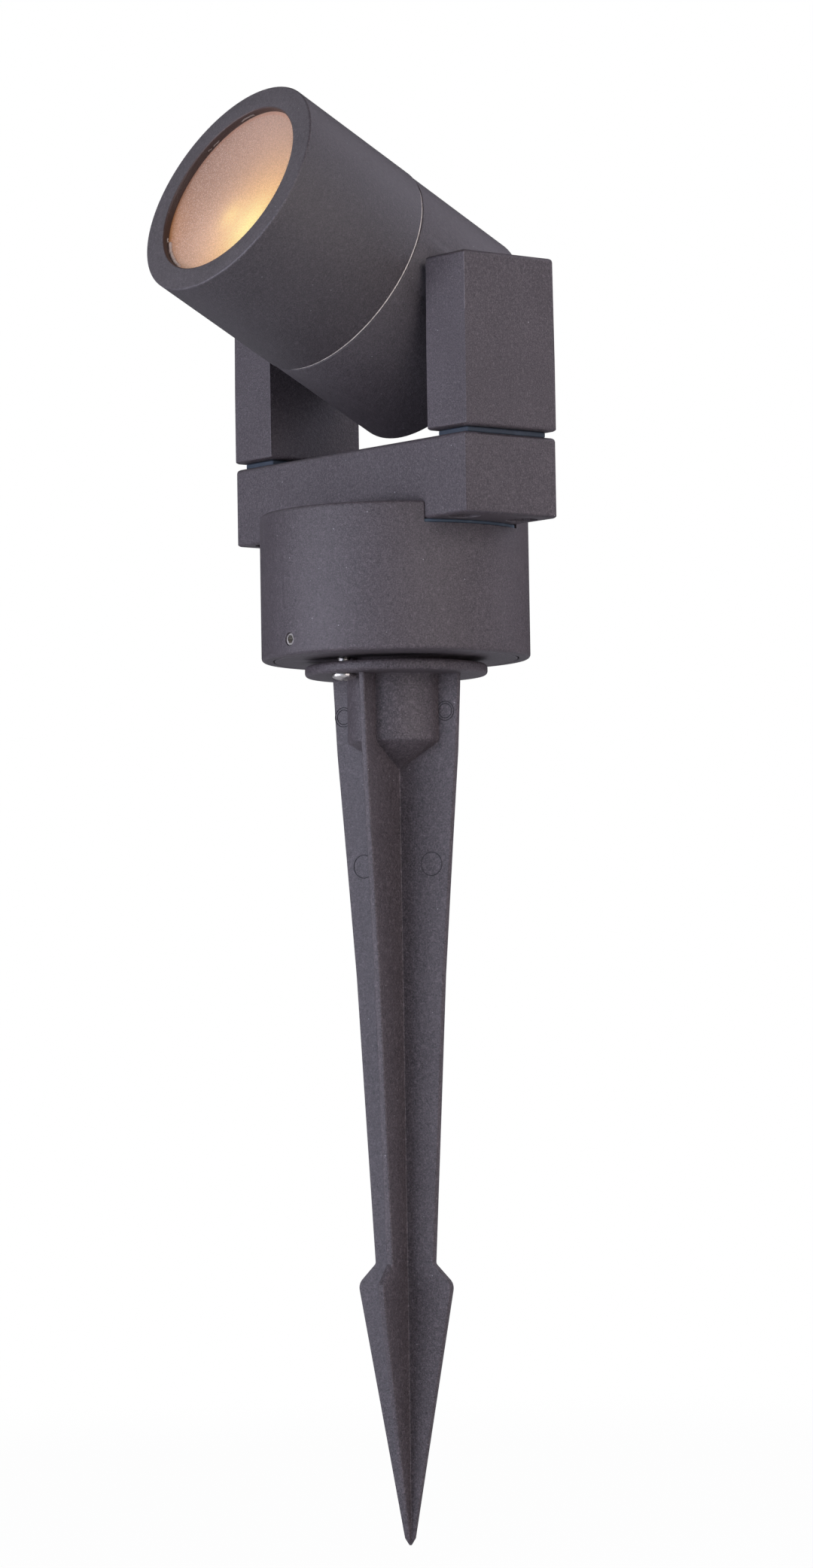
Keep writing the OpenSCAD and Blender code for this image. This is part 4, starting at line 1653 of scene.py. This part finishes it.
@dataclass(frozen=True)
class Screws(Group):
    """Every pan-head screw of the light."""

    cup_seat: Pair = (18 * MM, 9 * MM)
    arm_seat_y: float = 9.44 * MM
    arm_sinking: float = 4.5 * MM
    arm_grip: float = 12 * MM
    bracket_seat: Pair = (19.0 * MM, -5.4 * MM)
    block_seat: Point = (16 * MM, 4.5 * MM, 18.1 * MM)

    def build(self) -> None:
        """Makes the screws, one piece for each kind."""
        z = self.sizes
        down, up = Vector((0, 0, -1)), Vector((0, 0, 1))
        ahead = z.head.to_3x3() @ up
        arm_floor = z.bar_z + self.arm_sinking
        arm_screw = PanScrew(4 * MM, z.arm_z + self.arm_grip - arm_floor, 0.7 * MM)
        cup_x, cup_y = self.cup_seat
        bracket_y, bracket_z = self.bracket_seat
        block_x, block_y, block_z = self.block_seat
        flange = [Vector((0, y * z.flange_screw_y, 0)) for y in SIDES]
        bracket = [z.head @ Vector((0, y * bracket_y, bracket_z)) for y in SIDES]
        block = [Vector((block_x, y * block_y, block_z)) for y in SIDES]
        cup = self._four(cup_x, cup_y, z.slot_z - z.deck_t)
        arms = self._four(z.arm_x, self.arm_seat_y, arm_floor)
        flange_screw = PanScrew(3.5 * MM, 11.6 * MM, 0.6 * MM)
        cup_screw = PanScrew(4 * MM, 10.85 * MM, 0.7 * MM)
        bracket_screw = PanScrew(3 * MM, 8.1 * MM, 0.5 * MM)
        block_screw = PanScrew(3 * MM, 4.5 * MM, 0.5 * MM)
        for kind in (
            ScrewSet("flange_screws", flange_screw, down, flange, Body.SPIKE),
            ScrewSet("cup_screws", cup_screw, down, cup, Body.BASE),
            ScrewSet("arm_screws", arm_screw, down, arms, Body.BASE),
            ScrewSet("bracket_screws", bracket_screw, ahead, bracket, Body.HEAD),
            ScrewSet("terminal_screws", block_screw, up, block, Body.SPIKE, Slot.BRASS),
        ):
            kind.build(self.bench)

    @staticmethod
    def _four(x: float, y: float, z: float) -> list[Vector]:
        """Four seats at the corners of a level rectangle about the upright axis."""
        return [Vector((side * x, end * y, z)) for side in SIDES for end in SIDES]


@dataclass(frozen=True)
class GroundSpike(Group):
    """The cast spike: flange, hub, ribs and barb, with the marks that its ejector pins left."""

    length: float = 222 * MM
    flange_t: float = 2.8 * MM
    flange_round: float = 1.0 * MM
    hub_r: float = 12.7 * MM
    hub_len: float = 17 * MM
    cone: float = 8.0 * MM
    bore_r: float = 8 * MM
    bore_floor: float = 3 * MM
    entry_r: float = 4 * MM
    entry_turn: float = 135.0
    hole_r: float = 1.9 * MM
    overrun: float = 1 * MM
    rib_turn: float = 22.2
    valley_r: float = 0.25 * MM
    edge_round: float = 0.42 * MM
    tip_near: float = 0.42
    tip_valley: float = 0.36
    tip_edge: float = 0.2
    side: Sequence[Pair] = (
        (18.5 * MM, 1.2 * MM),
        (18.5 * MM, 0.0),
        (17.5 * MM, -19.6 * MM),
        (15.6 * MM, -42.1 * MM),
        (12.8 * MM, -76.8 * MM),
        (10.8 * MM, -111.4 * MM),
        (8.6 * MM, -148.9 * MM),
    )
    shoulder: Sequence[tuple[Pair, float]] = (
        ((8.5 * MM, -150.5 * MM), 1.2 * MM),
        ((13.7 * MM, -155.7 * MM), 3 * MM),
        ((1.4 * MM, -220.2 * MM), 0.6 * MM),
        ((0.3 * MM, -222 * MM), 0.2 * MM),
    )
    wire: float = 0.11 * MM
    sunk: float = 0.02 * MM
    marks: Sequence[Point] = (
        (14.6 * MM, -9.6 * MM, 2.45 * MM),
        (14.6 * MM, -9.6 * MM, 1.85 * MM),
        (-15.3 * MM, -9.8 * MM, 2.5 * MM),
        (-15.3 * MM, -9.8 * MM, 1.9 * MM),
        (9.9 * MM, -48.6 * MM, 3.0 * MM),
        (-9.9 * MM, -48.6 * MM, 3.0 * MM),
    )

    def build(self) -> None:
        """Makes the spike and its marks."""
        over, top = self.overrun, self.flange_t + self.overrun
        entry = Matrix.Rotation(math.radians(self.rib_turn + self.entry_turn), 4, "Z")
        entry = entry @ Matrix.Translation((0, 0, -self.hub_len / 2))
        entry = entry @ Matrix.Rotation(QUARTER_TURN, 4, "Y")
        cuts = [
            rod(self.bore_r, self.bore_floor - self.hub_len, top, 72),
            rod(self.entry_r, 0.0, self.hub_r + over, 48, entry),
        ]
        for side in SIDES:
            place = Matrix.Translation((0, side * self.sizes.flange_screw_y, 0))
            cuts.append(rod(self.hole_r, -over, top, 32, place))
        steps = [("UNION", self._ribs()), *(("DIFFERENCE", cut) for cut in cuts)]
        mesh = carved(self._hub(), steps)
        nodes = ("ground_spike",)
        self.bench.lay("ground_spike_cast", mesh, Body.SPIKE, Slot.SPIKE, nodes, crease=26.0)
        self._mark()

    def _hub(self) -> bpy.types.Mesh:
        """The flange and the hub with its cone, as one turned solid.

        Returns:
            Its mesh.
        """
        reach, top, ease = self.sizes.flange_r, self.flange_t, self.flange_round
        low = -self.hub_len
        outline = [
            (0.0, top),
            *arc((reach - ease, top - ease), ease, 90, 0, 5),
            *arc((reach - ease, ease), ease, 0, -90, 5),
            *arc((self.hub_r + ease, -ease * 0.5), ease, 150, 180, 3),
            *arc((self.hub_r - ease, low + ease * 0.4), ease, 0, -53, 3),
            (0.0, low - self.cone),
        ]
        return turned_mesh("hub", outline, 144)

    def _ribs(self) -> bpy.types.Mesh:
        """The four ribs with their barbs and point, lofted through sections down the spike.

        Returns:
            Their mesh.
        """
        shape = bmesh.new()
        rings = [
            [shape.verts.new((x, y, height)) for x, y in self._section(reach)]
            for reach, height in self._profile()
        ]
        for one, two in zip(rings, rings[1:]):
            for k in range(len(one)):
                n = (k + 1) % len(one)
                shape.faces.new((one[k], two[k], two[n], one[n]))
        for end in (rings[0], rings[-1]):
            shape.faces.new(end)
        bmesh.ops.recalc_face_normals(shape, faces=shape.faces)
        turn = Matrix.Rotation(math.radians(self.rib_turn), 3, "Z")
        bmesh.ops.rotate(shape, verts=shape.verts, matrix=turn)
        return finished("ribs", shape)

    def _profile(self) -> list[Pair]:
        """Reach and height of each section, from the flange down to the point.

        Returns:
            The pairs, with each corner of the shoulder rounded by an arc.
        """
        way, steps = list(self.side), 6
        corners = [Vector(point) for point, _ in self.shoulder] + [Vector((0.0, -self.length))]
        before = Vector(way[-1])
        for corner, after, (_, radius) in zip(corners, corners[1:], self.shoulder):
            back, on = (before - corner).normalized(), (after - corner).normalized()
            half = back.angle(on) / 2
            run = radius / math.tan(half)
            middle = corner + (back + on).normalized() * radius / math.sin(half)
            first, last = ((corner + leg * run - middle).normalized() for leg in (back, on))
            way += [tuple(middle + first.slerp(last, k / steps) * radius) for k in range(steps + 1)]
            before = corner + on * run
        return way

    def _section(self, reach: float) -> list[Pair]:
        """The cross of the four ribs at one height.

        Args:
            reach: How far the ribs reach from the axis there.

        Returns:
            The outline's corners, in order.
        """
        slope, flats = self.sizes.rib_slope, 5
        near = min(self.sizes.rib_root / 2, self.tip_near * reach)
        valley = min(self.valley_r, self.tip_valley * reach)
        ease = min(self.edge_round, self.tip_edge * reach)
        lean = math.hypot(1, slope)
        middle = (near + valley * lean) / (1 + slope)
        foot = middle - valley * slope / lean
        start = reach - ease
        along = [start + (foot - start) * k / flats for k in range(1, flats)]
        low = -90 - math.degrees(math.atan(slope))
        half = [
            (reach, 0.0),
            *arc((start, near - slope * reach - ease), ease, 0, 90, 4),
            *((x, near - slope * x) for x in along),
            *arc((middle, middle), valley, low, -135, 8),
        ]
        quarter = half + [(y, x) for x, y in reversed(half[1:-1])]
        turns = ((1, 0), (0, 1), (-1, 0), (0, -1))
        return [(x * c - y * s, x * s + y * c) for c, s in turns for x, y in quarter]

    def _mark(self) -> None:
        """The rings that the ejector pins left on the ribs, coloured dark as painted shade in their
        creases.
        """
        turn = math.radians(self.rib_turn)
        along = Vector((math.cos(turn), math.sin(turn), 0))
        out = Vector((math.sin(turn), -math.cos(turn), 0))
        points = []
        for reach, height, _ in self.marks:
            side = self.sizes.rib_root / 2 - self.sizes.rib_slope * abs(reach) - self.sunk
            points.append(along * reach + out * side + Vector((0, 0, height)))
        turns = [facing(out)] * len(points)
        seats = seats_mesh(points, turns, [radius for *_, radius in self.marks])
        # Painted shade: the rings are coloured dark for the shade in their creases.
        dark = PowderCoat("spike_mark_painted_shade", (42, 38, 41), (38, 34, 37), contrast=0.1).material()
        mesh = RingGrower().grow(dark, {"Wire": self.wire}, seats)
        self.bench.lay("spike_pin_marks", mesh, Body.SPIKE, Slot.SPIKE, finish=dark)


@dataclass(frozen=True)
class Swivel(Group):
    """The plate, the cup and the set screws that lock them."""

    set_screw_r: float = 1.6 * MM
    set_screw_z: float = 8.2 * MM
    set_screw_end: float = 34.2 * MM
    set_screw_tip: float = 29.9 * MM
    tip_share: float = 0.55
    rim: float = 0.12 * MM
    socket_r: float = 1.12 * MM
    socket_depth: float = 2.2 * MM
    overrun: float = 1 * MM

    def build(self) -> None:
        """Makes the castings and the set screws."""
        self.ease(
            EasedSolid("swivel_plate", Body.SPIKE, Slot.CAST, 0.25 * MM),
            EasedSolid("base_cup", Body.BASE, Slot.CAST, 0.2 * MM),
            EasedSolid("terminal_block", Body.SPIKE, Slot.CERAMIC, 0.3 * MM),
        )
        self._set_screws()

    def _set_screws(self) -> None:
        """The two set screws, with their ground tips and deep hexagon sockets."""
        radius, end, tip = self.set_screw_r, self.set_screw_end, self.set_screw_tip
        outline = [
            (0.0, tip),
            (radius * self.tip_share, tip),
            (radius, tip + radius * (1 - self.tip_share)),
            (radius, end - self.rim),
            (radius - self.rim, end),
            (0.0, end),
        ]
        socket = rod(self.socket_r, end - self.socket_depth, end + self.overrun, 6)
        screw = carved(turned_mesh("set_screw", outline, 36), [("DIFFERENCE", socket)])
        turns = [Euler((side * QUARTER_TURN, 0, 0)) for side in SIDES]
        seats = seats_mesh([Vector((0, 0, self.set_screw_z))] * 2, turns)
        mesh = self.bench.studs.copy(screw, seats, self.bench.finishes[Slot.STEEL])
        self.bench.lay("set_screws", mesh, Body.BASE, Slot.STEEL, ("grub_screws",))


@dataclass(frozen=True)
class Yoke(Group):
    """The crossbar, the two arms and their gaskets."""

    arm_edges: float = 80.0

    def build(self) -> None:
        """Makes the castings and the gaskets."""
        soft = {"edge_above": self.arm_edges, "rounded": True}
        for node in ("crossbar", "arm_left", "arm_right"):
            self.ease(EasedSolid(node, Body.BASE, Slot.CAST, 0.2 * MM, **soft))
        # The slot gasket gets a lighter copy of the gasket rubber, as painted light; the arm
        # gaskets keep the darker slot finish, as painted shade.
        sheet = Rubber("slot_gasket_lit_sheet", (78, 92, 106), (112, 124, 136))
        self.ease(
            EasedSolid("slot_gasket", Body.BASE, Slot.GASKET, 0.24 * MM, 3, coat=sheet),
            EasedSolid("arm_gasket_left", Body.BASE, Slot.GASKET, 0.4 * MM, 3),
            EasedSolid("arm_gasket_right", Body.BASE, Slot.GASKET, 0.4 * MM, 3),
        )


@dataclass(frozen=True)
class RearHousing(Group):
    """The head's rear, with the pale ring in its seam and the thread on its spigot."""

    ridge: float = 0.25 * MM
    pitch: float = 1.5 * MM
    thread_sunk: float = 0.03 * MM
    thread_start: float = 4.2 * MM
    thread_len: float = 3.1 * MM
    ring_ease: float = 0.15

    def build(self) -> None:
        """Makes the housing, what holds the lamp, the ring and the thread."""
        # A darker copy of the cast coat, as painted shade on the rear housing.
        coat = PowderCoat("housing_bronze_shaded_coat", (71, 65, 68), (66, 60, 63), sheen=0.7)
        self.ease(
            EasedSolid("rear_housing", Body.HEAD, Slot.CAST, 0.2 * MM, coat=coat),
            EasedSolid("lamp_holder", Body.HEAD, Slot.CERAMIC, 0.3 * MM),
            EasedSolid("holder_bracket", Body.HEAD, Slot.STEEL, 0.15 * MM),
            EasedSolid("pivot_bolts", Body.HEAD, Slot.STEEL, 0.15 * MM),
        )
        head = self.sizes.head
        seam = turned_mesh("seam", self._seam_outline(), 128)
        pale = Silicone("pale_seam_ring", (246, 238, 230), 0.5, 0.0).material()
        nodes = ("seam_ring",)
        self.bench.lay("seam_ring_round", seam, Body.HEAD, Slot.SILICONE, nodes, head, finish=pale)
        radius = self.sizes.spigot_r - self.thread_sunk
        helix = Helix(radius, self.thread_len, self.pitch, self.ridge, 72)
        mesh = self.bench.threads.wind(helix, self.bench.finishes[Slot.CAST])
        place = head @ Matrix.Translation((0, 0, self.sizes.seam + self.thread_start))
        self.bench.lay("spigot_thread", mesh, Body.HEAD, Slot.CAST, place=place)

    def _seam_outline(self) -> list[Pair]:
        """The pale ring's section, with its outer side rounded.

        Returns:
            Radius and height of each corner.
        """
        z = self.sizes
        inner, outer, thick = z.seam_inner, z.seam_outer, z.seam_t
        low, high, ease = z.seam, z.seam + thick, thick * self.ring_ease
        return [
            (inner, low),
            (outer - thick / 2, low),
            (outer - ease, low + ease),
            (outer, (low + high) / 2),
            (outer - ease, high - ease),
            (outer - thick / 2, high),
            (inner, high),
        ]


@dataclass(frozen=True)
class Bead:
    """One bead of sealant, by its start and sweep in degrees and its lengths in millimetres."""

    start: float
    sweep: float
    radius: float
    lift: float
    thickness: float
    seed: int


@dataclass(frozen=True)
class FrontHood(Group):
    """The hood with its thread, its lens and the sealant squeezed out round it."""

    ridge: float = 0.18 * MM
    pitch: float = 1.5 * MM
    thread_out: float = 0.1 * MM
    thread_start: float = 4.0 * MM
    thread_len: float = 4.0 * MM
    lens_edge: float = 0.35 * MM
    lens_ease: float = 0.3
    lens_rings: Pair = (0.66, 0.33)
    bead_stray: float = 0.14 * MM
    corners_per_degree: float = 0.9
    beads: Sequence[Bead] = (
        Bead(98, 12, 23.55, 0.9, 0.2, 3),
        Bead(131, 5, 23.55, 0.6, 0.15, 8),
        Bead(138, 3, 23.55, 0.8, 0.12, 5),
    )
    strips: Sequence[Bead] = (
        Bead(-152, 3, 23.55, 0.8, 0.2, 6),
        Bead(-148, 30, 23.2, 0.12, 0.55, 11),
    )

    def build(self) -> None:
        """Makes the hood and what it carries."""
        z = self.sizes
        # The hood's coat: pale edges that are partly rubbed and partly painted highlight, painted
        # lamplight in its mouth and painted shade behind it.
        coat = PowderCoat(
            "hood_bronze_coat",
            worn_and_highlit_colour=(150, 144, 148),
            sheen=0.72,
            wear_and_highlight=0.95,
            mouth=LitMouth(z.lens_axis),
        )
        self.ease(EasedSolid("front_hood", Body.HOOD, Slot.CAST, 0.45 * MM, 4, coat=coat))
        radius = z.hood_bore_r + self.thread_out
        helix = Helix(radius, self.thread_len, self.pitch, self.ridge, 72)
        mesh = self.bench.threads.wind(helix, self.bench.finishes[Slot.CAST])
        place = z.head @ Matrix.Translation((0, 0, z.seam + self.thread_start))
        self.bench.lay("hood_thread", mesh, Body.HOOD, Slot.CAST, place=place)
        lens = turned_mesh("lens", self._lens_outline(), 128)
        self.bench.lay("lens_frosted", lens, Body.HOOD, Slot.FROSTED, ("lens",), place=z.head)
        self._sealant()

    def _lens_outline(self) -> list[Pair]:
        """The lens's section, with its ground edge.

        Returns:
            Radius and height of each corner.
        """
        z, edge = self.sizes, self.lens_edge
        low, high, reach = z.lens_front - z.lens_t, z.lens_front, z.lens_r
        ease = edge * self.lens_ease
        outline = [
            (0.0, low),
            (reach - edge, low),
            (reach - ease, low + ease),
            (reach, low + edge),
            (reach, high - edge),
            (reach - ease, high - ease),
            (reach - edge, high),
        ]
        return outline + [(reach * share, high) for share in self.lens_rings] + [(0.0, high)]

    def _sealant(self) -> None:
        """The beads of sealant in the corner between the lens and the lip."""
        # The strip gets a thicker, less clear sealant, and it is lighter too as painted highlight.
        thick = Silicone("thick_highlit_sealant", (226, 208, 194), 0.25, 0.25).material()
        for name, beads, nodes, finish in (
            ("sealant_beads", self.beads, ("lens_sealant",), self.bench.finishes[Slot.SILICONE]),
            ("sealant_strip", self.strips, (), thick),
        ):
            mesh = self._squeezed(beads, finish)
            head = self.sizes.head
            self.bench.lay(
                name, mesh, Body.HOOD, Slot.SILICONE, nodes, head, crease=80.0, finish=finish
            )

    def _squeezed(self, beads: Sequence[Bead], finish: bpy.types.Material) -> bpy.types.Mesh:
        """Grows beads and puts them into one mesh.

        Args:
            beads: The beads.
            finish: Their material.

        Returns:
            The mesh.
        """
        grower = BeadGrower()
        parts = []
        for bead in beads:
            values = {
                "Radius": bead.radius * MM,
                "Start": math.radians(bead.start),
                "Sweep": math.radians(bead.sweep),
                "Corners": max(5, round(bead.sweep * self.corners_per_degree)),
                "Stray": self.bead_stray,
                "Bead": bead.thickness * MM,
                "Seed": bead.seed,
            }
            part = grower.grow(finish, values)
            part.transform(Matrix.Translation((0, 0, self.sizes.lens_front + bead.lift * MM)))
            parts.append(part)
        return joined("sealant", parts)


@dataclass(frozen=True)
class ReflectorLamp(Group):
    """The reflector lamp: a faceted bowl, a bulb with its filament, a base and two pins."""

    columns: int = 32
    rows: int = 9
    glass: float = 1.4 * MM
    neck: float = 8.5 * MM
    neck_share: float = 0.7
    bowl_floor: float = 7 * MM
    bulb_r: float = 4.4 * MM
    bulb_h: float = 19 * MM
    bulb_foot: float = 1 * MM
    filament: Helix = Helix(0.7 * MM, 5 * MM, 0.45 * MM, 0.14 * MM, 16)
    filament_lift: float = 1.2 * MM
    base_share: float = 1.5
    base_h: float = 7 * MM
    base_round: float = 0.8 * MM
    pin_x: float = 2.65 * MM
    pin_r: float = 0.75 * MM
    pin_round: Pair = (0.3 * MM, 0.5 * MM)
    pin_span: Pair = (-6 * MM, 1 * MM)

    def build(self) -> None:
        """Makes the lamp's pieces."""
        head, radius = self.sizes.head, self.bulb_r
        floor = self.sizes.lamp_back + self.bowl_floor
        top = floor + self.bulb_h
        bowl = self._bowl(floor)
        self.bench.lay("lamp_bowl", bowl, Body.HEAD, Slot.LAMP, ("lamp",), head, crease=4.0)
        bulb = [
            (0.0, floor - self.bulb_foot),
            (radius, floor - self.bulb_foot),
            *arc((0.0, top - radius), radius, 0, 75, 5),
            (0.0, top),
        ]
        self.bench.lay("lamp_bulb", turned_mesh("bulb", bulb, 40), Body.HEAD, Slot.LAMP, place=head)
        coil = self.bench.threads.wind(self.filament, self.bench.finishes[Slot.STEEL])
        middle = Matrix.Translation((0, 0, -self.filament.height / 2))
        coil.transform(Matrix.Rotation(QUARTER_TURN, 4, "X") @ middle)
        place = head @ Matrix.Translation((0, 0, top + self.filament_lift))
        self.bench.lay("lamp_clip", coil, Body.HEAD, Slot.STEEL, place=place)
        self.bench.lay("lamp_base", self._base(floor), Body.HEAD, Slot.CERAMIC, place=head)
        self.bench.lay("lamp_pins", self._pins(), Body.HEAD, Slot.STEEL, place=head)

    def _bowl(self, floor: float) -> bpy.types.Mesh:
        """The bowl: smooth glass outside, and flat facets in rows inside.

        Args:
            floor: Height of its floor.

        Returns:
            Its mesh.
        """
        shape = bmesh.new()
        outer = self._bowl_rings(shape, floor, self.sizes.lamp_r, self.neck, 0.0)
        inner_r = self.sizes.lamp_r - self.glass
        inner_neck = self.neck * self.neck_share
        inner = self._bowl_rings(shape, floor + self.glass, inner_r, inner_neck, 0.5)
        for rings in (outer, inner, [outer[-1], inner[-1]]):
            skin(shape, rings)
        for rings in (outer, inner):
            shape.faces.new(rings[0])
        bmesh.ops.triangulate(shape, faces=[face for face in shape.faces if len(face.verts) == 4])
        bmesh.ops.recalc_face_normals(shape, faces=shape.faces)
        return finished("bowl", shape)

    def _bowl_rings(
        self, shape: bmesh.types.BMesh, floor: float, mouth: float, neck: float, shift: float
    ) -> list[list[bmesh.types.BMVert]]:
        """Adds the rings of corners of one side of the bowl.

        Args:
            shape: The shape that gets them.
            floor: Height of the first ring.
            mouth: Radius of the last ring.
            neck: Radius of the first ring.
            shift: Turn of every second ring, in columns.

        Returns:
            The rings, from the floor to the mouth.
        """
        rings = []
        for k in range(self.rows + 1):
            turn = QUARTER_TURN * k / self.rows
            radius = neck + (mouth - neck) * math.sin(turn)
            height = floor + (self.sizes.lamp_front - floor) * (1 - math.cos(turn))
            rings.append(ring(shape, radius, height, self.columns, shift * (k % 2)))
        return rings

    def _base(self, floor: float) -> bpy.types.Mesh:
        """The pressed base below the bowl.

        Args:
            floor: Height of the bowl's floor.

        Returns:
            Its mesh.
        """
        shape = bmesh.new()
        bmesh.ops.create_cube(shape, size=1.0)
        size = (self.base_share * self.neck, self.neck, self.base_h)
        bmesh.ops.scale(shape, verts=shape.verts, vec=size)
        bmesh.ops.translate(shape, verts=shape.verts, vec=(0, 0, floor - self.base_h / 2))
        bmesh.ops.bevel(
            shape,
            geom=shape.edges[:],
            offset=self.base_round,
            segments=3,
            affect="EDGES",
            profile=0.5,
        )
        return finished("base", shape)

    def _pins(self) -> bpy.types.Mesh:
        """The two pins that carry the current.

        Returns:
            Their mesh.
        """
        low, high = (self.sizes.lamp_back + height for height in self.pin_span)
        narrower, longer = self.pin_round
        outline = [
            (0.0, low),
            (self.pin_r - narrower, low),
            (self.pin_r, low + longer),
            (self.pin_r, high),
            (0.0, high),
        ]
        pins = []
        for side in SIDES:
            pin = turned_mesh("pin", outline, 20)
            pin.transform(Matrix.Translation((side * self.pin_x, 0, 0)))
            pins.append(pin)
        return joined("pins", pins)


@dataclass(frozen=True)
class Leads(Group):
    """The sleeved leads inside the light."""

    bend: float = 2.6 * MM
    bend_corners: int = 8
    radius: float = 1.3 * MM
    bolt_gap: float = 0.3 * MM
    arm_drop_x: float = 2.9 * MM
    arm_drop_z: float = 13 * MM
    block: Point = (8 * MM, 0, 23.3 * MM)
    holder: Sequence[Point] = ((9.08 * MM, 0, -0.9 * MM), (11.68 * MM, 0, -0.9 * MM))

    def build(self) -> None:
        """Makes both leads."""
        z = self.sizes
        drop = z.bolt_end + self.arm_drop_x
        feed = (
            (z.bolt_end + self.bolt_gap, 0, z.pivot_z),
            (drop, 0, z.pivot_z),
            (drop, 0, z.arm_z + self.arm_drop_z),
            (z.arm_x, 0, z.arm_z),
            (z.arm_x, 0, z.wireway_z),
            (0, 0, z.wireway_z),
            (0, 0, z.slot_z - z.deck_t),
            self.block,
        )
        lamp = (*self.holder, (z.boss_in - self.bend, 0, 0), (z.bolt_end, 0, 0))
        grower = LeadGrower()
        values = {"Bend": self.bend, "Corners": self.bend_corners, "Radius": self.radius}
        for name, node, body, route in (
            ("feed_lead_sleeved", "feed_lead", Body.BASE, [Vector(point) for point in feed]),
            ("lamp_lead_sleeved", "lamp_lead", Body.HEAD, [z.head @ Vector(p) for p in lamp]),
        ):
            mesh = grower.grow(self.bench.finishes[Slot.SLEEVE], values, chain_mesh(route))
            self.bench.lay(name, mesh, body, Slot.SLEEVE, (node,), crease=50.0)


def slot_finishes(sizes: Sizes) -> dict[Slot, bpy.types.Material]:
    """Makes the finish of every slot, which all its pieces share.

    Args:
        sizes: The model's sizes.

    Returns:
        The materials.
    """
    finishes = {
        Slot.CAST: PowderCoat("cast_bronze_coat"),
        Slot.SPIKE: PowderCoat(
            "spike_bronze_coat", grain=0.42 * MM, grain_depth=0.12 * MM, contrast=0.38
        ),
        # Darker gasket rubber, as painted shade on the arm gaskets.
        Slot.GASKET: Rubber("gasket_blue_shaded_sheet", (50, 59, 70), (86, 96, 108)),
        Slot.RUBBER: Rubber("black_rubber_moulding", (26, 26, 27), (58, 57, 56)),
        Slot.SILICONE: Silicone("milky_sealant"),
        Slot.STEEL: PlatedMetal("nickel_steel", (214, 210, 204), (150, 144, 136)),
        Slot.BRASS: PlatedMetal("terminal_brass", (205, 166, 92), (140, 104, 52)),
        Slot.CERAMIC: Ceramic("steatite"),
        Slot.SLEEVE: Sleeve("braided_sleeve"),
        Slot.FROSTED: FrostedLens("sandblasted_lens", sizes.lens_axis),
        Slot.LAMP: LampGlass("reflector_glass"),
    }
    return {slot: finish.material() for slot, finish in finishes.items()}


def dress_nodes(finishes: dict[Slot, bpy.types.Material]) -> None:
    """Gives every CAD node the finish of its slot.

    Args:
        finishes: The slots' materials.
    """
    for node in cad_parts.values():
        for holder in node.material_slots:
            holder.material = finishes[Slot(holder.material.name)]


def main() -> None:
    """Builds the scene."""
    logging.basicConfig(level=logging.INFO, format="%(name)s: %(message)s")
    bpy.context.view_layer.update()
    PhotoCamera().build()
    Studio().build()
    bpy.context.scene.view_settings.view_transform = "Standard"
    sizes = Sizes()
    bench = Bench(slot_finishes(sizes), ThreadGrower(), StudGrower())
    dress_nodes(bench.finishes)
    groups = (GroundSpike, Swivel, Yoke, RearHousing, FrontHood, ReflectorLamp, Leads, Screws)
    for group in groups:
        group(bench, sizes).build()


if __name__ == "__main__":
    main()
